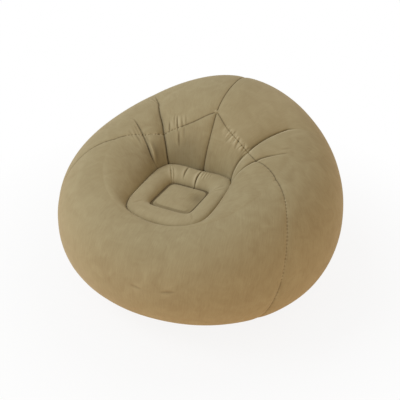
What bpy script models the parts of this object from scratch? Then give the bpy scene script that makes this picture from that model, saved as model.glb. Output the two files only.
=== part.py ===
"""Inflatable lounge chair welded from flocked vinyl film.

Five film panels close one air chamber: a horseshoe front panel that makes the inner wall, the arms
and the front, two back panels, a quilted seat and a plain base. Inside, four tie webs hold the seat
down at the height of a seat. A two-stage air valve sits low on the back.

Lengths are metres and angles degrees. +Z is up, the chair faces -Y and stands at Z = 0.

The skin is one surface over (angle, climb). The angle runs round the chair in plan, 0 straight ahead,
positive towards +X and 180 at the back. The climb counts stages: 0 the groove round the seat, 1 the
crest of the arms and backrest, 2 the belly, 3 the edge of the base.
"""

import math

import bmesh
import bpy
import numpy as np
from mathutils import Vector

# The body: a squashed ring of air, widest at the belly.
BELLY_HALF_WIDTH = 0.535
BELLY_HALF_DEPTH = 0.540
BELLY_FRONT_HEIGHT = 0.237
BELLY_BACK_HEIGHT = 0.277
BELLY_SQUARENESS = 2.03
CREST_HALF_WIDTH = 0.325
CREST_FRONT_DEPTH = 0.352
CREST_BACK_DEPTH = 0.330
CREST_FORWARD = 0.020
CREST_FRONT_HEIGHT = 0.402
CREST_SIDE_HEIGHT = 0.517
CREST_BACK_HEIGHT = 0.658
CREST_SWEEP_HEIGHT = 0.065
CREST_SQUARENESS = 2.3
INNER_FULLNESS = 1.99
OUTER_FULLNESS = 2.18
BASE_HALF_WIDTH = 0.395
BASE_HALF_DEPTH = 0.358
BASE_SETBACK = 0.026
BASE_SQUARENESS = 2.1
UNDERCUT_ANGLE = 68.5

# The seat: a padded ring in the well, round a quilted square that the tie webs pull down.
GROOVE_HALF_WIDTH = 0.172
GROOVE_HALF_DEPTH = 0.167
GROOVE_FORWARD = 0.166
GROOVE_HEIGHT = 0.400
GROOVE_REAR_LIFT = 0.012
GROOVE_SQUARENESS = 3.6
PAD_CROWN = 0.022
PAD_SHOULDER = 0.6
QUILT_HALF_WIDTH = 0.083
QUILT_HALF_DEPTH = 0.082
QUILT_FORWARD = 0.163
QUILT_HEIGHT = 0.387
QUILT_SQUARENESS = 7
QUILT_WELD_BAND = 0.009
QUILT_PUFF = 0.008
TUCK_DEPTH = 0.006
TUCK_ANGLES = (-172, 164)
TUCK_SPREAD = 4

# Film, welds and the clearance that keeps neighbouring pieces apart.
FILM = 0.0008
WELD_WIDTH = 0.006
WELD_DIP = 0.005
CLEARANCE = 0.0004
BASE_ROLL = 0.025

# The seams: (angle, climb share) along the side seam, from the base edge up to the star behind the
# seat's back, where the two side seams, the back seam and the well seam meet.
SIDE_SEAM_SHARES = (
    (49, 3.00),
    (53, 2.40),
    (56.5, 2.00),
    (62, 1.58),
    (70, 1.27),
    (84, 0.95),
    (104, 0.72),
    (126, 0.52),
    (145, 0.475),
    (163, 0.51),
    (180, 0.60),
)
SEAM_BEND_SHARE = 0.5
BEND_SEAT_ANGLE = 92

# Deep folds that the tight inner wall gathers into, on both sides: where each starts at the seat, how
# far it leans forward for each stage of climb, its depth, its spread and the climb where it dies out.
ARM_FOLD_DEPTH = 0.010
CORNER_FOLD_DEPTH = 0.044
ARM_FOLD = {"foot": 133, "lean": 30, "depth": ARM_FOLD_DEPTH, "spread": 4, "end_share": 1.15}
CORNER_FOLD = {"foot": 140.5, "lean": 14, "depth": CORNER_FOLD_DEPTH, "spread": 6, "end_share": 1.5}
FOLD_START_SHARE = 0.12
FOLD_FADE_SHARE = 0.5
FOLD_SEARCH_SHARES = (0.5, 0.95)
SEARCH_HALVINGS = 40

# How finely the panels are divided. The columns run out from the seat: across the front, then from
# the bend of the side seam over the arm, between the folds and behind the back. The rows are shares
# of the inner wall's height and of the way from the crest down to the base.
FRONT_COLUMNS = 8
ARM_COLUMNS = 5
FOLD_COLUMNS = 3
BACK_COLUMNS = 7
INNER_ROW_SHARES = (0, 0.15, 0.38, 0.62, 0.88, 1)
OUTER_ROW_SHARES = (0, 0.035, 0.10, 0.17, 0.25, 0.33, 0.41, 0.49, 0.575, 0.665, 0.76, 0.86, 0.955, 1)
PAD_ROW_SHARES = (0, 0.10, 0.24, 0.40, 0.58, 0.80, 1)
QUILT_ROW_SHARES = (1, 0.86, 0.55)

# The tie webs, one along each side of the quilt, and the doublers that spread their pull.
TIE_LENGTH = 0.112
TIE_WAIST = 0.018
TIE_FLANGE = 0.010
TIE_ROWS = 10
DOUBLER_WIDTH = 0.026
DOUBLER_THICKNESS = 0.0010

# The valve sits in one cell of the back panel's grid, counted from the back seam and from the crest.
# On its axis every height is measured outwards from the film's outer face.
VALVE_COLUMN_COUNT = 2
VALVE_ROW_COUNT = 8
FLANGE_RADIUS = 0.031
FLANGE_THICKNESS = 0.0014
NECK_RADIUS = 0.020
NECK_WALL = 0.0026
NECK_PROUD = 0.008
LEASH_THICKNESS = 0.0012
STOPPER_RADIUS = 0.0205
STOPPER_RIM = 0.0018
STOPPER_WALL = 0.0022
STOPPER_DEPTH = 0.018
STOPPER_FLOOR = 0.0016
PORT_RADIUS = 0.010
CAP_RADIUS = 0.0185
CAP_THICKNESS = 0.0018
PLUG_DEPTH = 0.007
PLUG_WALL = 0.0016
PLUG_TAPER = 0.0006
PULL_TAB_WIDTH = 0.010
PULL_TAB_LENGTH = 0.008
HINGE_REACH = 0.0045
KNUCKLE_RADIUS = 0.0022
KNUCKLE_HALF_WIDTH = 0.0027
STRAP_HALF_WIDTH = 0.006
HINGE_PIN_RADIUS = 0.0008
FLAP_OVERLAP = 0.0020
FLAP_THICKNESS = 0.0010
FLAP_HINGE_REACH = 0.004
FLAP_BARREL_RADIUS = 0.0012
FLAP_TAB_HALF_WIDTH = 0.003
LUG_THICKNESS = 0.002
LUG_HALF_HEIGHT = 0.0016
TAB_STEP = 0.0002
TURN_STEPS = 40
PIN_SIDES = 12
SHARP_ANGLE = 40
MERGE_DISTANCE = 0.00001
OVERRUN = 0.002


def clear_scene():
    for old in list(bpy.data.objects):
        bpy.data.objects.remove(old, do_unlink=True)


def make_collection(name):
    collection = bpy.data.collections.new(name)
    bpy.context.scene.collection.children.link(collection)
    return collection


def make_material(name, colour, roughness, sheen=0.0):
    material = bpy.data.materials.new(name)
    material.use_nodes = True
    surface = material.node_tree.nodes["Principled BSDF"]
    surface.inputs["Base Color"].default_value = (*colour, 1)
    surface.inputs["Roughness"].default_value = roughness
    surface.inputs["Metallic"].default_value = 0
    surface.inputs["Sheen Weight"].default_value = sheen
    return material


def superellipse(angle, half_width, front_depth, back_depth, squareness):
    """Plan position at an angle on a closed curve that is rounder at 2 and squarer above."""
    sideways = math.sin(math.radians(angle))
    ahead = math.cos(math.radians(angle))
    depth = front_depth if ahead > 0 else back_depth
    fullness = abs(sideways / half_width) ** squareness + abs(ahead / depth) ** squareness
    reach = fullness ** (-1 / squareness)
    return Vector((reach * sideways, -reach * ahead, 0))


def groove_ring(angle):
    """Where the seat meets the wall round it, a little higher at the rear than at the front."""
    place = superellipse(angle, GROOVE_HALF_WIDTH, GROOVE_HALF_DEPTH, GROOVE_HALF_DEPTH, GROOVE_SQUARENESS)
    lift = GROOVE_REAR_LIFT * place.y / GROOVE_HALF_DEPTH
    return place + Vector((0, -GROOVE_FORWARD, GROOVE_HEIGHT + lift))


def crest_ring(angle):
    """The top line: low across the front, level along the arms, swept up to the backrest."""
    place = superellipse(angle, CREST_HALF_WIDTH, CREST_FRONT_DEPTH, CREST_BACK_DEPTH, CREST_SQUARENESS)
    rearward = -math.cos(math.radians(angle))
    slope = (CREST_BACK_HEIGHT - CREST_FRONT_HEIGHT) / 2
    bow = (CREST_BACK_HEIGHT + CREST_FRONT_HEIGHT) / 2 - CREST_SIDE_HEIGHT
    sweep = CREST_SWEEP_HEIGHT * (rearward**3 - rearward)
    height = CREST_SIDE_HEIGHT + slope * rearward + bow * rearward**2 + sweep
    return place + Vector((0, -CREST_FORWARD, height))


def belly_ring(angle):
    place = superellipse(angle, BELLY_HALF_WIDTH, BELLY_HALF_DEPTH, BELLY_HALF_DEPTH, BELLY_SQUARENESS)
    rearward = -math.cos(math.radians(angle))
    middle = (BELLY_BACK_HEIGHT + BELLY_FRONT_HEIGHT) / 2
    return place + Vector((0, 0, middle + (BELLY_BACK_HEIGHT - BELLY_FRONT_HEIGHT) / 2 * rearward))


def base_ring(angle):
    place = superellipse(angle, BASE_HALF_WIDTH, BASE_HALF_DEPTH, BASE_HALF_DEPTH, BASE_SQUARENESS)
    return place + Vector((0, BASE_SETBACK, 0))


def between(start, end, across, up):
    """A point between two rings, with its own share in plan and in height."""
    return Vector((
        start.x + (end.x - start.x) * across,
        start.y + (end.y - start.y) * across,
        start.z + (end.z - start.z) * up,
    ))


def smooth_skin(angle, climb):
    """The inflated surface without its folds."""
    if climb <= 1:
        turn = math.radians(90 * climb)
        across = 1 - max(math.cos(turn), 0) ** (2 / INNER_FULLNESS)
        up = math.sin(turn) ** (2 / INNER_FULLNESS)
        return between(groove_ring(angle), crest_ring(angle), across, up)
    if climb <= 2:
        turn = math.radians(90 * (climb - 1))
        across = math.sin(turn) ** (2 / OUTER_FULLNESS)
        down = 1 - max(math.cos(turn), 0) ** (2 / OUTER_FULLNESS)
        return between(crest_ring(angle), belly_ring(angle), across, down)
    turn = math.radians(UNDERCUT_ANGLE * (climb - 2))
    undercut = math.radians(UNDERCUT_ANGLE)
    across = (1 - math.cos(turn)) / (1 - math.cos(undercut))
    down = math.sin(turn) / math.sin(undercut)
    return between(belly_ring(angle), base_ring(angle), across, down)


def air_side(angle, climb):
    """The direction from the film into the air chamber: straight down at the seat, up at the base."""
    if climb <= 0:
        return Vector((0, 0, -1))
    if climb >= 3:
        return Vector((0, 0, 1))
    turn_step = 0.5
    climb_step = 0.01
    along = smooth_skin(angle + turn_step, climb) - smooth_skin(angle - turn_step, climb)
    onward = smooth_skin(angle, min(climb + climb_step, 3)) - smooth_skin(angle, max(climb - climb_step, 0))
    return along.cross(onward).normalized()


def blend(start, end, share):
    return start + (end - start) * share


def smoothstep(value, low, high):
    share = min(max((value - low) / (high - low), 0), 1)
    return share * share * (3 - 2 * share)


def fold_line(fold, climb):
    return fold["foot"] - fold["lean"] * climb


def fold_depth(angle, climb):
    """How far the folds pull the skin in: sharp at the fold's line and easing off to each side."""
    depth = 0
    for fold in (ARM_FOLD, CORNER_FOLD):
        off_line = abs(abs(angle) - fold_line(fold, climb)) / fold["spread"]
        risen = smoothstep(climb, 0, FOLD_START_SHARE)
        faded = smoothstep(climb, FOLD_FADE_SHARE, fold["end_share"])
        depth += fold["depth"] * risen * (1 - faded) * math.exp(-off_line)
    return depth


def skin_point(angle, climb, on_seam=False):
    """A point of the film's outer face. Along a seam the weld draws it a little further in."""
    inward = fold_depth(angle, climb)
    if on_seam and climb > 0:
        inward += WELD_DIP
    return smooth_skin(angle, climb) + air_side(angle, climb) * inward


def through(points, share):
    """A smooth curve through hand-set points, at a share of its length counted in points."""
    points = [np.array(point, float) for point in points]
    place = share * (len(points) - 1)
    index = min(int(place), len(points) - 2)
    local = place - index
    before = points[index - 1] if index else 2 * points[0] - points[1]
    start, end = points[index], points[index + 1]
    after = points[index + 2] if index + 2 < len(points) else 2 * points[-1] - points[-2]
    slope = end - before
    bend = 2 * before - 5 * start + 4 * end - after
    twist = 3 * start - before - 3 * end + after
    return start + (slope * local + bend * local**2 + twist * local**3) / 2


def fold_crossing(fold):
    """The share of the side seam at which a fold crosses it."""
    low, high = FOLD_SEARCH_SHARES
    for _ in range(SEARCH_HALVINGS):
        middle = (low + high) / 2
        angle, climb = through(SIDE_SEAM_SHARES, middle)
        if angle < fold_line(fold, climb):
            low = middle
        else:
            high = middle
    return (low + high) / 2


def rear_columns():
    """The columns behind the seam's bend: the angle at the seat and the share of the side seam."""
    stops = (
        (BEND_SEAT_ANGLE, SEAM_BEND_SHARE, ARM_COLUMNS),
        (ARM_FOLD["foot"], fold_crossing(ARM_FOLD), FOLD_COLUMNS),
        (CORNER_FOLD["foot"], fold_crossing(CORNER_FOLD), BACK_COLUMNS),
        (180, 1, 0),
    )
    columns = []
    for (seat_angle, seam, count), (next_angle, next_seam, _) in zip(stops, stops[1:]):
        for step in range(count):
            share = step / count
            columns.append((blend(seat_angle, next_angle, share), blend(seam, next_seam, share)))
    return columns + [(180, 1)]


def base_angle(seam_share):
    """Where the column from a place on the top of the side seam ends on the base edge."""
    corner = SIDE_SEAM_SHARES[0][0]
    return blend(corner, 180, (seam_share - SEAM_BEND_SHARE) / (1 - SEAM_BEND_SHARE))


def side_seam(share):
    return np.array(through(SIDE_SEAM_SHARES, share))


def front_stations():
    """The front and the arm, from the middle line to the side seam, as columns of (angle, climb)."""
    middle_line = []
    far_line = []
    seat, bend = np.array((BEND_SEAT_ANGLE, 0)), side_seam(SEAM_BEND_SHARE)
    for share in INNER_ROW_SHARES[:-1]:
        middle_line.append(np.array((0, share)))
        far_line.append(blend(seat, bend, share))
    for share in OUTER_ROW_SHARES:
        middle_line.append(np.array((0, 1 + 2 * share)))
        far_line.append(side_seam(SEAM_BEND_SHARE * (1 - share)))
    columns = []
    for step in range(FRONT_COLUMNS + 1):
        share = step / FRONT_COLUMNS
        columns.append([blend(near, far, share) for near, far in zip(middle_line, far_line)])
    return columns


def wall_stations():
    """The inner wall behind the bend, from the seat up to the side seam."""
    columns = []
    for seat_angle, seam_share in rear_columns():
        foot = np.array((seat_angle, 0))
        columns.append([blend(foot, side_seam(seam_share), share) for share in INNER_ROW_SHARES])
    return columns


def back_stations():
    """The back, between the two stretches of the side seam, the base edge and the back seam."""
    star = side_seam(1)
    corners = side_seam(SEAM_BEND_SHARE), star, side_seam(0), np.array((180, 3))
    columns = []
    for _, seam_share in rear_columns():
        across = (seam_share - SEAM_BEND_SHARE) / (1 - SEAM_BEND_SHARE)
        top = side_seam(seam_share)
        foot = np.array((base_angle(seam_share), 3))
        column = []
        for down in OUTER_ROW_SHARES:
            near = side_seam(SEAM_BEND_SHARE * (1 - down))
            far = blend(star, corners[3], down)
            flat = blend(blend(corners[0], corners[1], across), blend(corners[2], corners[3], across), down)
            column.append(blend(top, foot, down) + blend(near, far, across) - flat)
        columns.append(column)
    return columns


def grid_faces(width, height, closed=False):
    """Quads of a grid of columns, each height points long, counted column by column."""
    faces = []
    for column in range(width if closed else width - 1):
        onward = (column + 1) % width
        for row in range(height - 1):
            low = column * height + row
            high = onward * height + row
            faces.append((low, low + 1, high + 1, high))
    return faces


def inward_along(edge):
    """The direction in its face that leads away from a free edge."""
    face = edge.link_faces[0]
    middle = (edge.verts[0].co + edge.verts[1].co) / 2
    along = (edge.verts[1].co - edge.verts[0].co).normalized()
    across = face.normal.cross(along)
    return across if across.dot(face.calc_center_median() - middle) > 0 else -across


def turn_in_fins(bm, air_of):
    """Draws every free edge back by half the seam's gap and adds the fin that is welded inside."""
    bm.normal_update()
    rim = [edge for edge in bm.edges if edge.is_boundary]
    rim_verts = {vert for edge in rim for vert in edge.verts}
    slips = {}
    for vert in rim_verts:
        first, second = [inward_along(edge) for edge in vert.link_edges if edge.is_boundary]
        slips[vert] = (first + second) * (CLEARANCE / 2) / (1 + first.dot(second))
    for vert, slip in slips.items():
        vert.co += slip
    fins = {vert: bm.verts.new(vert.co + air_of[vert] * WELD_WIDTH) for vert in rim_verts}
    for edge in rim:
        loop = edge.link_loops[0]
        start, end = loop.vert, loop.link_loop_next.vert
        # Both panels of a seam split their fins along the same diagonal, so the twisted fins stay apart.
        if start.co.y < end.co.y:
            halves = (end, start, fins[end]), (start, fins[start], fins[end])
        else:
            halves = (end, start, fins[start]), (end, fins[start], fins[end])
        for half in halves:
            bm.faces.new(half).smooth = True


class FilmGrid:
    """The points of a panel's outer face, gathered patch by patch."""

    def __init__(self):
        self.points = []
        self.airs = []
        self.faces = []

    def add_patch(self, stations, side, is_on_seam):
        """Adds columns of (angle, climb) stations, on the right side (1) or mirrored (-1)."""
        start = len(self.points)
        for number, column in enumerate(stations):
            for row, (angle, climb) in enumerate(column):
                self.points.append(skin_point(side * angle, climb, is_on_seam(number, row)))
                self.airs.append(air_side(side * angle, climb))
        for face in grid_faces(len(stations), len(stations[0])):
            face = [start + index for index in face]
            self.faces.append(face if side > 0 else face[::-1])

    def add_ring(self, columns, centre, air, facing_out=True):
        """Adds closed rings of points, row by row inwards, and the triangles to their middle."""
        width, height = len(columns), len(columns[0])
        faces = grid_faces(width, height, closed=True)
        middle = width * height
        for number in range(width):
            onward = (number + 1) % width
            faces.append((number * height + height - 1, middle, onward * height + height - 1))
        self.points = [point for column in columns for point in column] + [centre]
        self.airs = [air] * len(self.points)
        self.faces = faces if facing_out else [face[::-1] for face in faces]

    def make(self, name, material, reshape=None):
        """Makes the panel: its outer face, its weld fins and its thickness on the air side."""
        bm = bmesh.new()
        verts = [bm.verts.new(point) for point in self.points]
        air_of = dict(zip(verts, self.airs))
        for face in self.faces:
            bm.faces.new([verts[index] for index in face])
        merged = bmesh.ops.find_doubles(bm, verts=verts, dist=CLEARANCE / 4)["targetmap"]
        bmesh.ops.weld_verts(bm, targetmap=merged)
        for face in bm.faces:
            face.smooth = True
        if reshape:
            reshape(bm)
        turn_in_fins(bm, air_of)
        bmesh.ops.triangulate(bm, faces=bm.faces, quad_method="SHORT_EDGE")
        panel = mesh_object(name, bm, material)
        add_thickness(panel, FILM)
        return panel


def mesh_object(name, bm, material, collection=None):
    mesh = bpy.data.meshes.new(name)
    bm.to_mesh(mesh)
    bm.free()
    mesh.set_sharp_from_angle(angle=math.radians(SHARP_ANGLE))
    made = bpy.data.objects.new(name, mesh)
    (collection or chair).objects.link(made)
    if material:
        mesh.materials.append(material)
    return made


def add_thickness(sheet, thickness):
    solid = sheet.modifiers.new("thickness", "SOLIDIFY")
    solid.thickness = thickness
    solid.offset = -1
    solid.use_even_offset = True
    return solid


def front_panel():
    """One horseshoe panel from seat groove to side seams and base, its ends meeting behind the seat."""
    front, wall = front_stations(), wall_stations()
    bend_row = len(INNER_ROW_SHARES) - 1
    base_row = len(front[0]) - 1

    def front_on_seam(column, row):
        return row == base_row or (column == FRONT_COLUMNS and row >= bend_row)

    def wall_on_seam(column, row):
        return row == bend_row or column == len(wall) - 1

    grid = FilmGrid()
    for side in (1, -1):
        grid.add_patch(front, side, front_on_seam)
        grid.add_patch(wall, side, wall_on_seam)
    return grid.make("front_panel", flocked)


def back_panel(name, side, reshape=None):
    """The panel from the side seam over the crest and down to the base, as far as the back seam."""
    stations = back_stations()
    last_column, last_row = len(stations) - 1, len(stations[0]) - 1

    def on_seam(column, row):
        return column in (0, last_column) or row in (0, last_row)

    grid = FilmGrid()
    grid.add_patch(stations, side, on_seam)
    return grid.make(name, flocked, reshape)


def all_round(half):
    """Angles from 0 to 180 on the right, then back again on the left."""
    return half + [-angle for angle in reversed(half[1:-1])]


def seat_angles():
    """The angles at which the columns meet the seat."""
    front = [BEND_SEAT_ANGLE * step / FRONT_COLUMNS for step in range(FRONT_COLUMNS)]
    return all_round(front + [seat_angle for seat_angle, _ in rear_columns()])


def base_angles():
    """The angles at which the columns meet the base edge."""
    corner = SIDE_SEAM_SHARES[0][0]
    front = [corner * step / FRONT_COLUMNS for step in range(FRONT_COLUMNS)]
    return all_round(front + [base_angle(seam_share) for _, seam_share in rear_columns()])


def quilt_ring(angle, inset):
    half_width = QUILT_HALF_WIDTH - inset
    half_depth = QUILT_HALF_DEPTH - inset
    place = superellipse(angle, half_width, half_depth, half_depth, QUILT_SQUARENESS)
    return place + Vector((0, -QUILT_FORWARD, QUILT_HEIGHT))


def tuck_depth(angle, share):
    """Small tucks across the back of the padded ring, from the groove towards the quilt."""
    depth = 0
    for tuck in TUCK_ANGLES:
        off_line = abs(angle - tuck) / TUCK_SPREAD
        depth += TUCK_DEPTH * math.exp(-off_line)
    return depth * math.sin(math.pi * share)


def seat_panel():
    """The seat: a padded ring, a flat weld band round the quilt and the quilt's low puff."""
    middle = Vector((0, -QUILT_FORWARD, QUILT_HEIGHT))
    puffed = Vector((0, 0, QUILT_PUFF))
    columns = []
    for angle in seat_angles():
        start, end = groove_ring(angle), quilt_ring(angle, 0)
        column = []
        for share in PAD_ROW_SHARES:
            turn = math.pi * share
            lean = math.cos(turn)
            across = (1 - lean**PAD_SHOULDER) / 2 if lean > 0 else (1 - lean) / 2
            place = between(start, end, across, share)
            place.z += PAD_CROWN * math.sin(turn) - tuck_depth(angle, share)
            column.append(place)
        inner = quilt_ring(angle, QUILT_WELD_BAND)
        column += [middle.lerp(inner, share) + puffed * (1 - share**4) for share in QUILT_ROW_SHARES]
        columns.append(column)
    grid = FilmGrid()
    grid.add_ring(columns, middle + puffed, Vector((0, 0, -1)), facing_out=False)
    return grid.make("seat_panel", flocked)


def base_panel():
    """The flat base, rolled up a little at its edge to meet the skin."""
    middle = Vector((0, BASE_SETBACK, 0))
    columns = []
    for angle in base_angles():
        edge = base_ring(angle)
        flat = edge + (middle - edge).normalized() * BASE_ROLL
        columns.append([skin_point(angle, 3, on_seam=True), flat, (middle + flat) / 2])
    grid = FilmGrid()
    grid.add_ring(columns, middle, Vector((0, 0, 1)))
    return grid.make("base_panel", plain_film)


def doubler_height():
    """The underside of the seat doubler, from which the tie webs hang."""
    return QUILT_HEIGHT - FILM - CLEARANCE - DOUBLER_THICKNESS


def doubler(name, height):
    """A flat square band of film that spreads the tie webs' pull over a panel."""
    outline = bpy.data.curves.new(name, "CURVE")
    outline.dimensions = "2D"
    outline.fill_mode = "BOTH"
    outline.extrude = DOUBLER_THICKNESS / 2
    angles = seat_angles()
    for inset in (0, DOUBLER_WIDTH):
        spline = outline.splines.new("POLY")
        spline.points.add(len(angles) - 1)
        spline.use_cyclic_u = True
        for point, angle in zip(spline.points, angles):
            place = quilt_ring(angle, inset)
            point.co = (place.x, place.y, 0, 1)
    outline.materials.append(plain_film)
    band = bpy.data.objects.new(name, outline)
    band.location.z = height + DOUBLER_THICKNESS / 2
    chair.objects.link(band)
    return band


def tie_web(name, heading):
    """A waisted web of film with a weld flange at its top and foot, along one side of the quilt."""
    top = doubler_height() - CLEARANCE
    foot = FILM + CLEARANCE + DOUBLER_THICKNESS + CLEARANCE
    reach = QUILT_HALF_WIDTH if heading % 180 else QUILT_HALF_DEPTH
    reach -= DOUBLER_WIDTH / 2
    facing = superellipse(heading, 1, 1, 1, 2)
    along = Vector((-facing.y, facing.x, 0))
    middle = Vector((0, -QUILT_FORWARD, 0)) + facing * reach
    rows = [(top, TIE_FLANGE, 0)]
    for step in range(TIE_ROWS + 1):
        share = step / TIE_ROWS
        rows.append((top + (foot - top) * share, 0, math.sin(math.pi * share)))
    rows.append((foot, TIE_FLANGE, 0))
    bm = bmesh.new()
    pairs = []
    for height, offset, waisted in rows:
        half = TIE_LENGTH / 2 - TIE_WAIST * waisted
        place = middle + facing * offset + Vector((0, 0, height))
        pairs.append([bm.verts.new(place + along * half * end) for end in (-1, 1)])
    for (a, b), (c, d) in zip(pairs, pairs[1:]):
        bm.faces.new((a, b, d, c))
    web = mesh_object(name, bm, plain_film)
    add_thickness(web, FILM)
    return web


def turned(name, profile, material, parent, collection=None):
    """A turned shape: (radius, height) points, down the outer side first, about the local Z axis."""
    bm = bmesh.new()
    verts = [bm.verts.new((radius, 0, height)) for radius, height in profile]
    ends = list(zip(verts, verts[1:]))
    if profile[0][0] > 0:
        ends.append((verts[-1], verts[0]))
    for pair in ends:
        bm.edges.new(pair)
    shape = mesh_object(name, bm, material, collection)
    screw = shape.modifiers.new("turn", "SCREW")
    screw.steps = screw.render_steps = TURN_STEPS
    screw.use_merge_vertices = True
    screw.merge_threshold = MERGE_DISTANCE
    screw.use_smooth_shade = True
    shape.parent = parent
    return shape


def helper(shape):
    """A shape that cuts or joins another one, and isn't a piece itself."""
    shape.hide_render = True
    shape.display_type = "WIRE"
    return shape


def plate(name, outline, low, high, parent):
    """A flat outline, anticlockwise in the local XY plane, given its thickness along Z."""
    bm = bmesh.new()
    face = bm.faces.new([bm.verts.new((x, y, low)) for x, y in outline])
    raised = bmesh.ops.extrude_face_region(bm, geom=[face])["geom"]
    for vert in raised:
        if isinstance(vert, bmesh.types.BMVert):
            vert.co.z = high
    bmesh.ops.recalc_face_normals(bm, faces=bm.faces)
    shape = helper(mesh_object(name, bm, None, tools))
    shape.parent = parent
    return shape


def tab(name, left, right, foot, top, low, high, parent):
    """A plain rectangular plate."""
    return plate(name, ((left, foot), (right, foot), (right, top), (left, top)), low, high, parent)


def rod(name, radius, half_length, centre, parent, sides=PIN_SIDES):
    """A round rod along the local X axis."""
    bm = bmesh.new()
    bmesh.ops.create_cone(
        bm, cap_ends=True, segments=sides, radius1=radius, radius2=radius, depth=2 * half_length
    )
    for face in bm.faces:
        face.smooth = True
    for vert in bm.verts:
        vert.co = Vector(centre) + Vector((vert.co.z, vert.co.x, vert.co.y))
    shape = helper(mesh_object(name, bm, None, tools))
    shape.parent = parent
    return shape


def combine(target, other, operation):
    change = target.modifiers.new(f"{operation.lower()} {other.name}", "BOOLEAN")
    change.operation = operation
    change.solver = "EXACT"
    change.object = other


def empty(name, location, parent=None, rotation=(0, 0, 0)):
    marker = bpy.data.objects.new(name, None)
    marker.location = location
    marker.rotation_euler = rotation
    marker.parent = parent
    chair.objects.link(marker)
    return marker


def valve_cell():
    """The corners of the back panel's grid cell that carries the valve, made flat for its flange."""
    seam_column = len(back_stations()) - 1
    near_seam = seam_column - VALVE_COLUMN_COUNT + 1
    columns = back_stations()[near_seam - 1:near_seam + 1]
    rows = VALVE_ROW_COUNT, VALVE_ROW_COUNT + 1
    corners = [smooth_skin(*column[row]) for column in columns for row in rows]
    middle = sum(corners, Vector()) / len(corners)
    outward = (corners[1] - corners[2]).cross(corners[3] - corners[0])
    return corners, middle, outward.normalized()


def flatten_for_valve(bm):
    """Moves the corners of the valve's cell into one plane, square to the valve's axis."""
    _, middle, outward = valve_cell()
    cell = min(bm.faces, key=lambda face: (face.calc_center_median() - middle).length)
    for vert in cell.verts:
        vert.co -= outward * (vert.co - middle).dot(outward)


def leash_height():
    return NECK_PROUD + CLEARANCE


def stopper_height():
    return leash_height() + LEASH_THICKNESS + CLEARANCE


def cap_height():
    return stopper_height() + STOPPER_RIM + CLEARANCE


def stopper_bore():
    return stopper_radius() - STOPPER_WALL


def stopper_radius():
    return NECK_RADIUS - NECK_WALL - CLEARANCE


def cap_hinge_place():
    """Up from the axis, and outwards half-way between the leash and the cap."""
    outwards = (leash_height() + cap_height() + CAP_THICKNESS) / 2
    return STOPPER_RADIUS + HINGE_REACH, outwards


def flap_hinge_place():
    flap_face = -STOPPER_DEPTH + stopper_height() - CLEARANCE
    return PORT_RADIUS + FLAP_HINGE_REACH, flap_face - FLAP_THICKNESS / 2 - FLAP_BARREL_RADIUS


def neck_hole(axis):
    """The hole in the film that the neck comes out through."""
    radius = NECK_RADIUS + CLEARANCE
    ends = ((0, NECK_PROUD), (radius, NECK_PROUD), (radius, -WELD_WIDTH), (0, -WELD_WIDTH))
    return helper(turned("neck_hole", ends, None, axis, tools))


def valve_flange(axis):
    """The flat ring welded behind the film, round the neck."""
    under = -FILM - CLEARANCE
    foot = under - FLANGE_THICKNESS
    hole = NECK_RADIUS + CLEARANCE
    ring = ((FLANGE_RADIUS, under), (FLANGE_RADIUS, foot), (hole, foot), (hole, under))
    return turned("valve_flange", ring, valve_vinyl, axis)


def valve_neck(axis):
    """The short tube that stands in the flange and holds the stopper."""
    top = NECK_PROUD
    foot = -FILM - CLEARANCE - FLANGE_THICKNESS
    bore = NECK_RADIUS - NECK_WALL
    lip = NECK_WALL / 4
    profile = (
        (NECK_RADIUS - lip, top),
        (NECK_RADIUS, top - lip),
        (NECK_RADIUS, foot),
        (bore, foot),
        (bore, top - lip),
        (bore + lip, top),
    )
    return turned("valve_neck", profile, valve_vinyl, axis)


def valve_stopper(axis):
    """The wide stopper that fills the neck: a cup with the inflation port in its floor."""
    rim_under = stopper_height()
    top = rim_under + STOPPER_RIM
    bottom = rim_under - STOPPER_DEPTH
    bore = stopper_bore()
    edge = STOPPER_RIM / 4
    profile = (
        (STOPPER_RADIUS - edge, top),
        (STOPPER_RADIUS, top - edge),
        (STOPPER_RADIUS, rim_under),
        (stopper_radius(), rim_under),
        (stopper_radius(), bottom),
        (PORT_RADIUS, bottom),
        (PORT_RADIUS, bottom + STOPPER_FLOOR),
        (bore, bottom + STOPPER_FLOOR),
        (bore, top),
    )
    stopper = turned("valve_stopper", profile, valve_vinyl, axis)
    up, outwards = flap_hinge_place()
    lug_start = FLAP_TAB_HALF_WIDTH + CLEARANCE
    for side in (-1, 1):
        left, right = sorted((side * lug_start, side * (lug_start + LUG_THICKNESS)))
        foot, top = up - LUG_HALF_HEIGHT, up + LUG_HALF_HEIGHT
        low, high = outwards - LUG_HALF_HEIGHT, bottom + STOPPER_FLOOR / 2
        combine(stopper, tab(f"lug_{side}", left, right, foot, top, low, high, axis), "UNION")
    bore_rod = rod(
        "lug_bore", HINGE_PIN_RADIUS + CLEARANCE, stopper_radius(), (0, up, outwards), axis
    )
    combine(stopper, bore_rod, "DIFFERENCE")
    return stopper


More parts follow.
